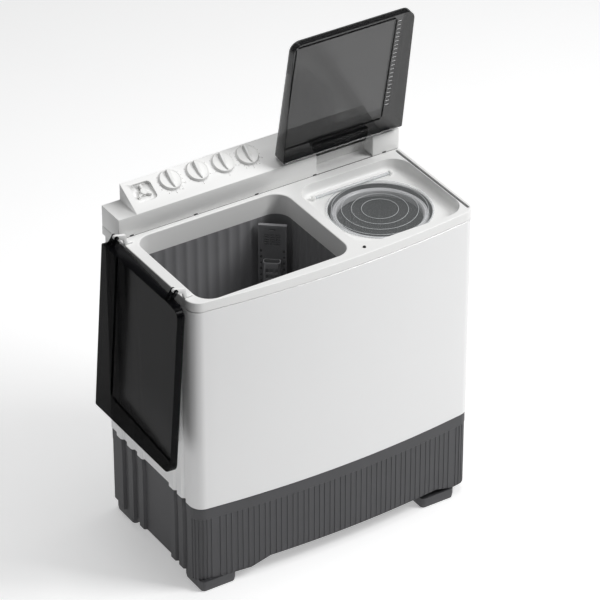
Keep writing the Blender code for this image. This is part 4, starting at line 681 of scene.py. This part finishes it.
# Knobs: four glossy white ABS dials with a chamfered skirt and a fin-shaped grip that stands tallest up
# the slope and falls to a pointer. Each turns on the spindle of a timer or switch under the fascia. The
# inlet's three-armed lever is of the same plastic.
GRIP_LOW, GRIP_TALL = 0.0070, 0.0130
dial = moulded("white_abs", "EDEDEC", "E6E6E4", 0.30, 0.02, grain=2.0, drift=50)
for name, x in KNOBS.items():
    skirt = [(0, 0.0080), (0.0275, 0.0080), (0.0290, 0.0090), (0.0312, 0.0088), (0.0340, 0.0020)]
    skirt += [(0.0340, 0.0004), (0.0330, 0.0004), (0.0325, 0.0003)]
    skirt += [(0.0040, 0.0003), (0.0040, -0.0110), (0, -0.0110)]
    bm = turned(skirt, 0, 0, 0.0005, 72)
    grip = [(-0.0055, 0.0265), (-0.0078, 0.0150), (-0.0080, -0.0120), (-0.0045, -0.0240), (0, -0.0300)]
    grip += [(-u, v) for u, v in reversed(grip[:-1])]
    before = set(bm.verts)
    plate(bm, [(u, v, GRIP_LOW) for u, v in grip], (0, 0, GRIP_TALL), 0.0016)
    for v in bm.verts:
        if v not in before and v.co.z > 0.012:
            v.co.z -= 0.0085 * min(1, max(0, (0.0200 - v.co.y) / 0.050)) ** 1.4
            v.co.x *= 0.72
    outward(bm)
    bmesh.ops.transform(bm, verts=bm.verts, matrix=on_slope(x, KNOB_UP))
    piece(bm, name + "_dial", dial, name, "white_plastic", name)
bm = softened("inlet_lever", 0.0008, 0.002)
piece(bm, "three_arm_lever", dial, "inlet_lever", "white_plastic", "inlet_lever")

# Lids: two shallow covers moulded in smoked polystyrene, see-through in thin places and nearly black at
# the edges. The wash lid's copy of the smoke is darker and all but unreflecting: painted shade for the
# shade it hangs in. Both slope down to the front, with round front corners and beads inside. They are
# made shut, then swung open about their hinges.
LID_LOW, LID_BACK, LID_NOSE, LID_WALL = 0.968, 0.388, -0.020, 0.003
NOSE_TALL, BACK_TALL = 0.024, 0.050


def lid_height(y):
    """How tall a shut lid is, this far back."""
    return NOSE_TALL + (BACK_TALL - NOSE_TALL) * (y - LID_NOSE) / (LID_BACK - LID_NOSE)


def lid_plan(left, right, inset):
    """A lid's plan, with big round corners at its front and small ones at its back."""
    near, far = 0.030 - inset, 0.0045 - min(inset, 0.004)
    left, right, nose, back = left + inset, right - inset, LID_NOSE + inset, LID_BACK - inset
    return (
        arc(left + near, nose + near, near, 180, 270)
        + arc(right - near, nose + near, near, 270, 360)
        + arc(right - far, back - far, far, 0, 90, 4)
        + arc(left + far, back - far, far, 90, 180, 4)
    )


def lid_skin(left, right):
    """A shut lid's outer skin, open below, with a rounded top edge and an inset panel."""
    bm = bmesh.new()
    levels = [(0.0010, 0), (0, 0.001), (0, 0.045), (0.0015, 0.0485), (0.005, 0.050), (0.014, 0.050)]
    levels += [(0.0155, 0.0492), (0.018, 0.0492)]
    rings = skin(bm, [(lid_plan(left, right, inset), z) for inset, z in levels])
    bmesh.ops.contextual_create(bm, geom=rings[-1])
    for v in bm.verts:
        v.co.z = LID_LOW + v.co.z * lid_height(v.co.y) / BACK_TALL
    outward(bm)
    return bm


def cut_window(bm, x0, x1, spans):
    """Opens the skin between two x planes, wherever y lies in one of the spans."""
    cuts = [((x, 0, 0), (1, 0, 0)) for x in (x0, x1)]
    cuts += [((0, y, 0), (0, 1, 0)) for span in spans for y in span]
    for place, facing in cuts:
        everything = bm.verts[:] + bm.edges[:] + bm.faces[:]
        bmesh.ops.bisect_plane(bm, geom=everything, plane_co=place, plane_no=facing, dist=1e-5)
    gone = []
    for f in bm.faces:
        middle = f.calc_center_median()
        if x0 < middle.x < x1 and any(low < middle.y < high for low, high in spans):
            gone.append(f)
    bmesh.ops.delete(bm, geom=gone, context="FACES")


def frame_bead(bm, left, right):
    """Stiffening beads under the lid's top, just inside its four skirts."""
    under = LID_WALL + 0.0005
    for x in (left + 0.022, right - 0.024):
        ends = [(0.012, 0), (0.366, 0), (0.366, 0.006), (0.012, 0.006)]
        side = [(x, y, LID_LOW + lid_height(y) - under - drop) for y, drop in ends]
        plate(bm, side, (0.002, 0, 0), 0.0006)
    for y in (0.006, 0.372):
        z = LID_LOW + lid_height(y) - under
        block(bm, (left + 0.028, y, z - 0.006), (right - 0.028, y + 0.002, z + 0.0005), 0.0006)


smoke = moulded(
    "smoked_polystyrene",
    "0C0C0D",
    "101011",
    0.16,
    0.02,
    grain=7,
    drift=150,
    Alpha=0.70,
    Specular_IOR_Level=0.4,
)
# A darker, nearly unreflecting copy of the smoke for the wash lid: painted shade, for the shade it hangs in
# on the machine's left.
shaded_smoke = moulded(
    "smoked_polystyrene_painted_shade",
    "08080A",
    "0C0C0E",
    0.18,
    0.02,
    grain=7,
    drift=150,
    Alpha=0.86,
    Specular_IOR_Level=0.05,
)
WASH_LID = (-0.006, 0.517)
WASH_PIVOT, WASH_SWING = Vector((-0.027, WASH_Y, 0.998)), radians(-266)
LUG_RADIUS, LUG_WIDE = 0.0065, 0.005
HOOK_GAPS = ((0.0445, 0.0555), (0.3605, 0.3715))  # the brackets' hooks reach in here when it is shut
bm = lid_skin(*WASH_LID)
cut_window(bm, -0.026, 0.014, HOOK_GAPS)
walled(bm, LID_WALL)
frame_bead(bm, *WASH_LID)
for y in (0.050, 0.366):
    for low in (y - 0.0106, y + 0.0056):
        lug = arc(WASH_PIVOT.x, WASH_PIVOT.z, LUG_RADIUS, 90, 270)
        lug += [(-0.004, LID_LOW + 0.008), (-0.004, LID_LOW + 0.022)]
        plate(bm, [(u, low, w) for u, w in lug], (0, LUG_WIDE, 0), 0.0008)
outward(bm)
bmesh.ops.rotate(bm, verts=bm.verts, cent=WASH_PIVOT, matrix=Matrix.Rotation(WASH_SWING, 3, "Y"))
piece(bm, "smoked_wash_lid", shaded_smoke, "wash_lid", "smoked_plastic", "wash_lid")

SPIN_LID = (0.521, 0.918)
SPIN_PIVOT, SPIN_SWING = Vector((0.7365, 0.426, 1.0155)), radians(-82)
VENTS, VENT_PITCH, VENT_NEAR, VENT_FAR = 22, 0.0145, 0.023, 0.027
VENT_STRIP = 0.022  # how far in the right bead stands, to leave room for the vents
bm = lid_skin(*SPIN_LID)
cut_window(bm, 0.881, 0.895, [(VENT_NEAR + VENT_PITCH * i, VENT_FAR + VENT_PITCH * i) for i in range(VENTS)])
walled(bm, LID_WALL)
frame_bead(bm, SPIN_LID[0], SPIN_LID[1] - VENT_STRIP)
tongue = arc(SPIN_PIVOT.y + 0.0060, SPIN_PIVOT.z, LUG_RADIUS, -90, 90, 12)
tongue += [(0.386, LID_LOW + 0.047), (0.386, LID_LOW + 0.034)]
plate(bm, [(0.647, u, w) for u, w in tongue], (0.179, 0, 0), 0.0015)
outward(bm)
bmesh.ops.rotate(bm, verts=bm.verts, cent=SPIN_PIVOT, matrix=Matrix.Rotation(SPIN_SWING, 3, "X"))
piece(bm, "smoked_spin_lid", smoke, "spin_lid", "smoked_plastic", "spin_lid")

# Lid fittings: two white hooked brackets screwed to the deck's left rim carry the wash lid on steel pins,
# and a small bump of dull black rubber on the deck's bridge takes the spin lid's corner.
for end in ("front", "rear"):
    node_name = "wash_hinge_bracket_" + end
    bm = softened(node_name, 0.0008, 0.004)
    piece(bm, "hooked_bracket_" + end, white, "cabinet", "white_plastic", node_name)
rubber = moulded("black_rubber", "19191A", "222223", 0.72, 0.06, grain=1.5, drift=30)
bump = [(0, 0.9690), (0.0028, 0.9689), (0.0040, 0.9684), (0.0050, 0.9655), (0.0050, 0.9653), (0, 0.9653)]
bm = turned(bump, 0.549, 0.003, 0.0004, 32)
piece(bm, "lid_bump", rubber, "cabinet", "black_rubber", "lid_stop")

# Back panel screws: twelve pan heads in three rows that hold the steel back panel. They are zinc-plated,
# dull and faintly spangled like the panel itself.
zinc = moulded("galvanised_sheet", "B4B6B8", "9C9FA2", 0.42, 0.03, grain=9, drift=28, Metallic=0.9)
PANEL_FACE = 0.4829
pan = [(0, 0.0020), (0.0026, 0.0018), (0.0040, 0.0008), (0.0042, 0), (0, 0)]
bm = bmesh.new()
for x in (0.030, 0.300, 0.620, 0.890):
    for z in (0.296, 0.600, 0.920):
        made = turned(pan, 0, 0, 0.0002, 24)
        stand = Matrix.Translation((x, PANEL_FACE, z)) @ Matrix.Rotation(-pi / 2, 4, "X")
        bmesh.ops.transform(made, verts=made.verts, matrix=stand)
        mesh = bpy.data.meshes.new("pan_head")
        made.to_mesh(mesh)
        made.free()
        bm.from_mesh(mesh)
piece(bm, "back_panel_screws", zinc, "cabinet", "zinc_plate")

# Works: the back panel, the console's back cover, the spigots and the drives, seals, pipes and pins
# inside keep their CAD shapes. Bright ground steel, galvanised sheet and dull grey die castings stand
# beside black rubber and plastic.
steel = moulded("ground_steel", "B9BABC", "A5A6A9", 0.30, 0.01, grain=0.9, drift=20, Metallic=1.0)
casting = moulded("aluminium_die_casting", "A8A9AA", "8F9092", 0.52, 0.12, grain=1.4, drift=25, Metallic=0.85)
finishes = {
    "white_plastic": white,
    "white_paint": enamel,
    "charcoal_plastic": charcoal,
    "grey_plastic": grey,
    "smoked_plastic": smoke,
    "clear_plastic": clear,
    "black_plastic": black,
    "black_rubber": rubber,
    "steel": steel,
    "zinc_plate": zinc,
    "die_casting": casting,
}
for part in frame["record"]["subparts"]:
    for material_slot in frame["nodes"][part["node"]].material_slots:
        material_slot.material = finishes[part["material_slot"]]
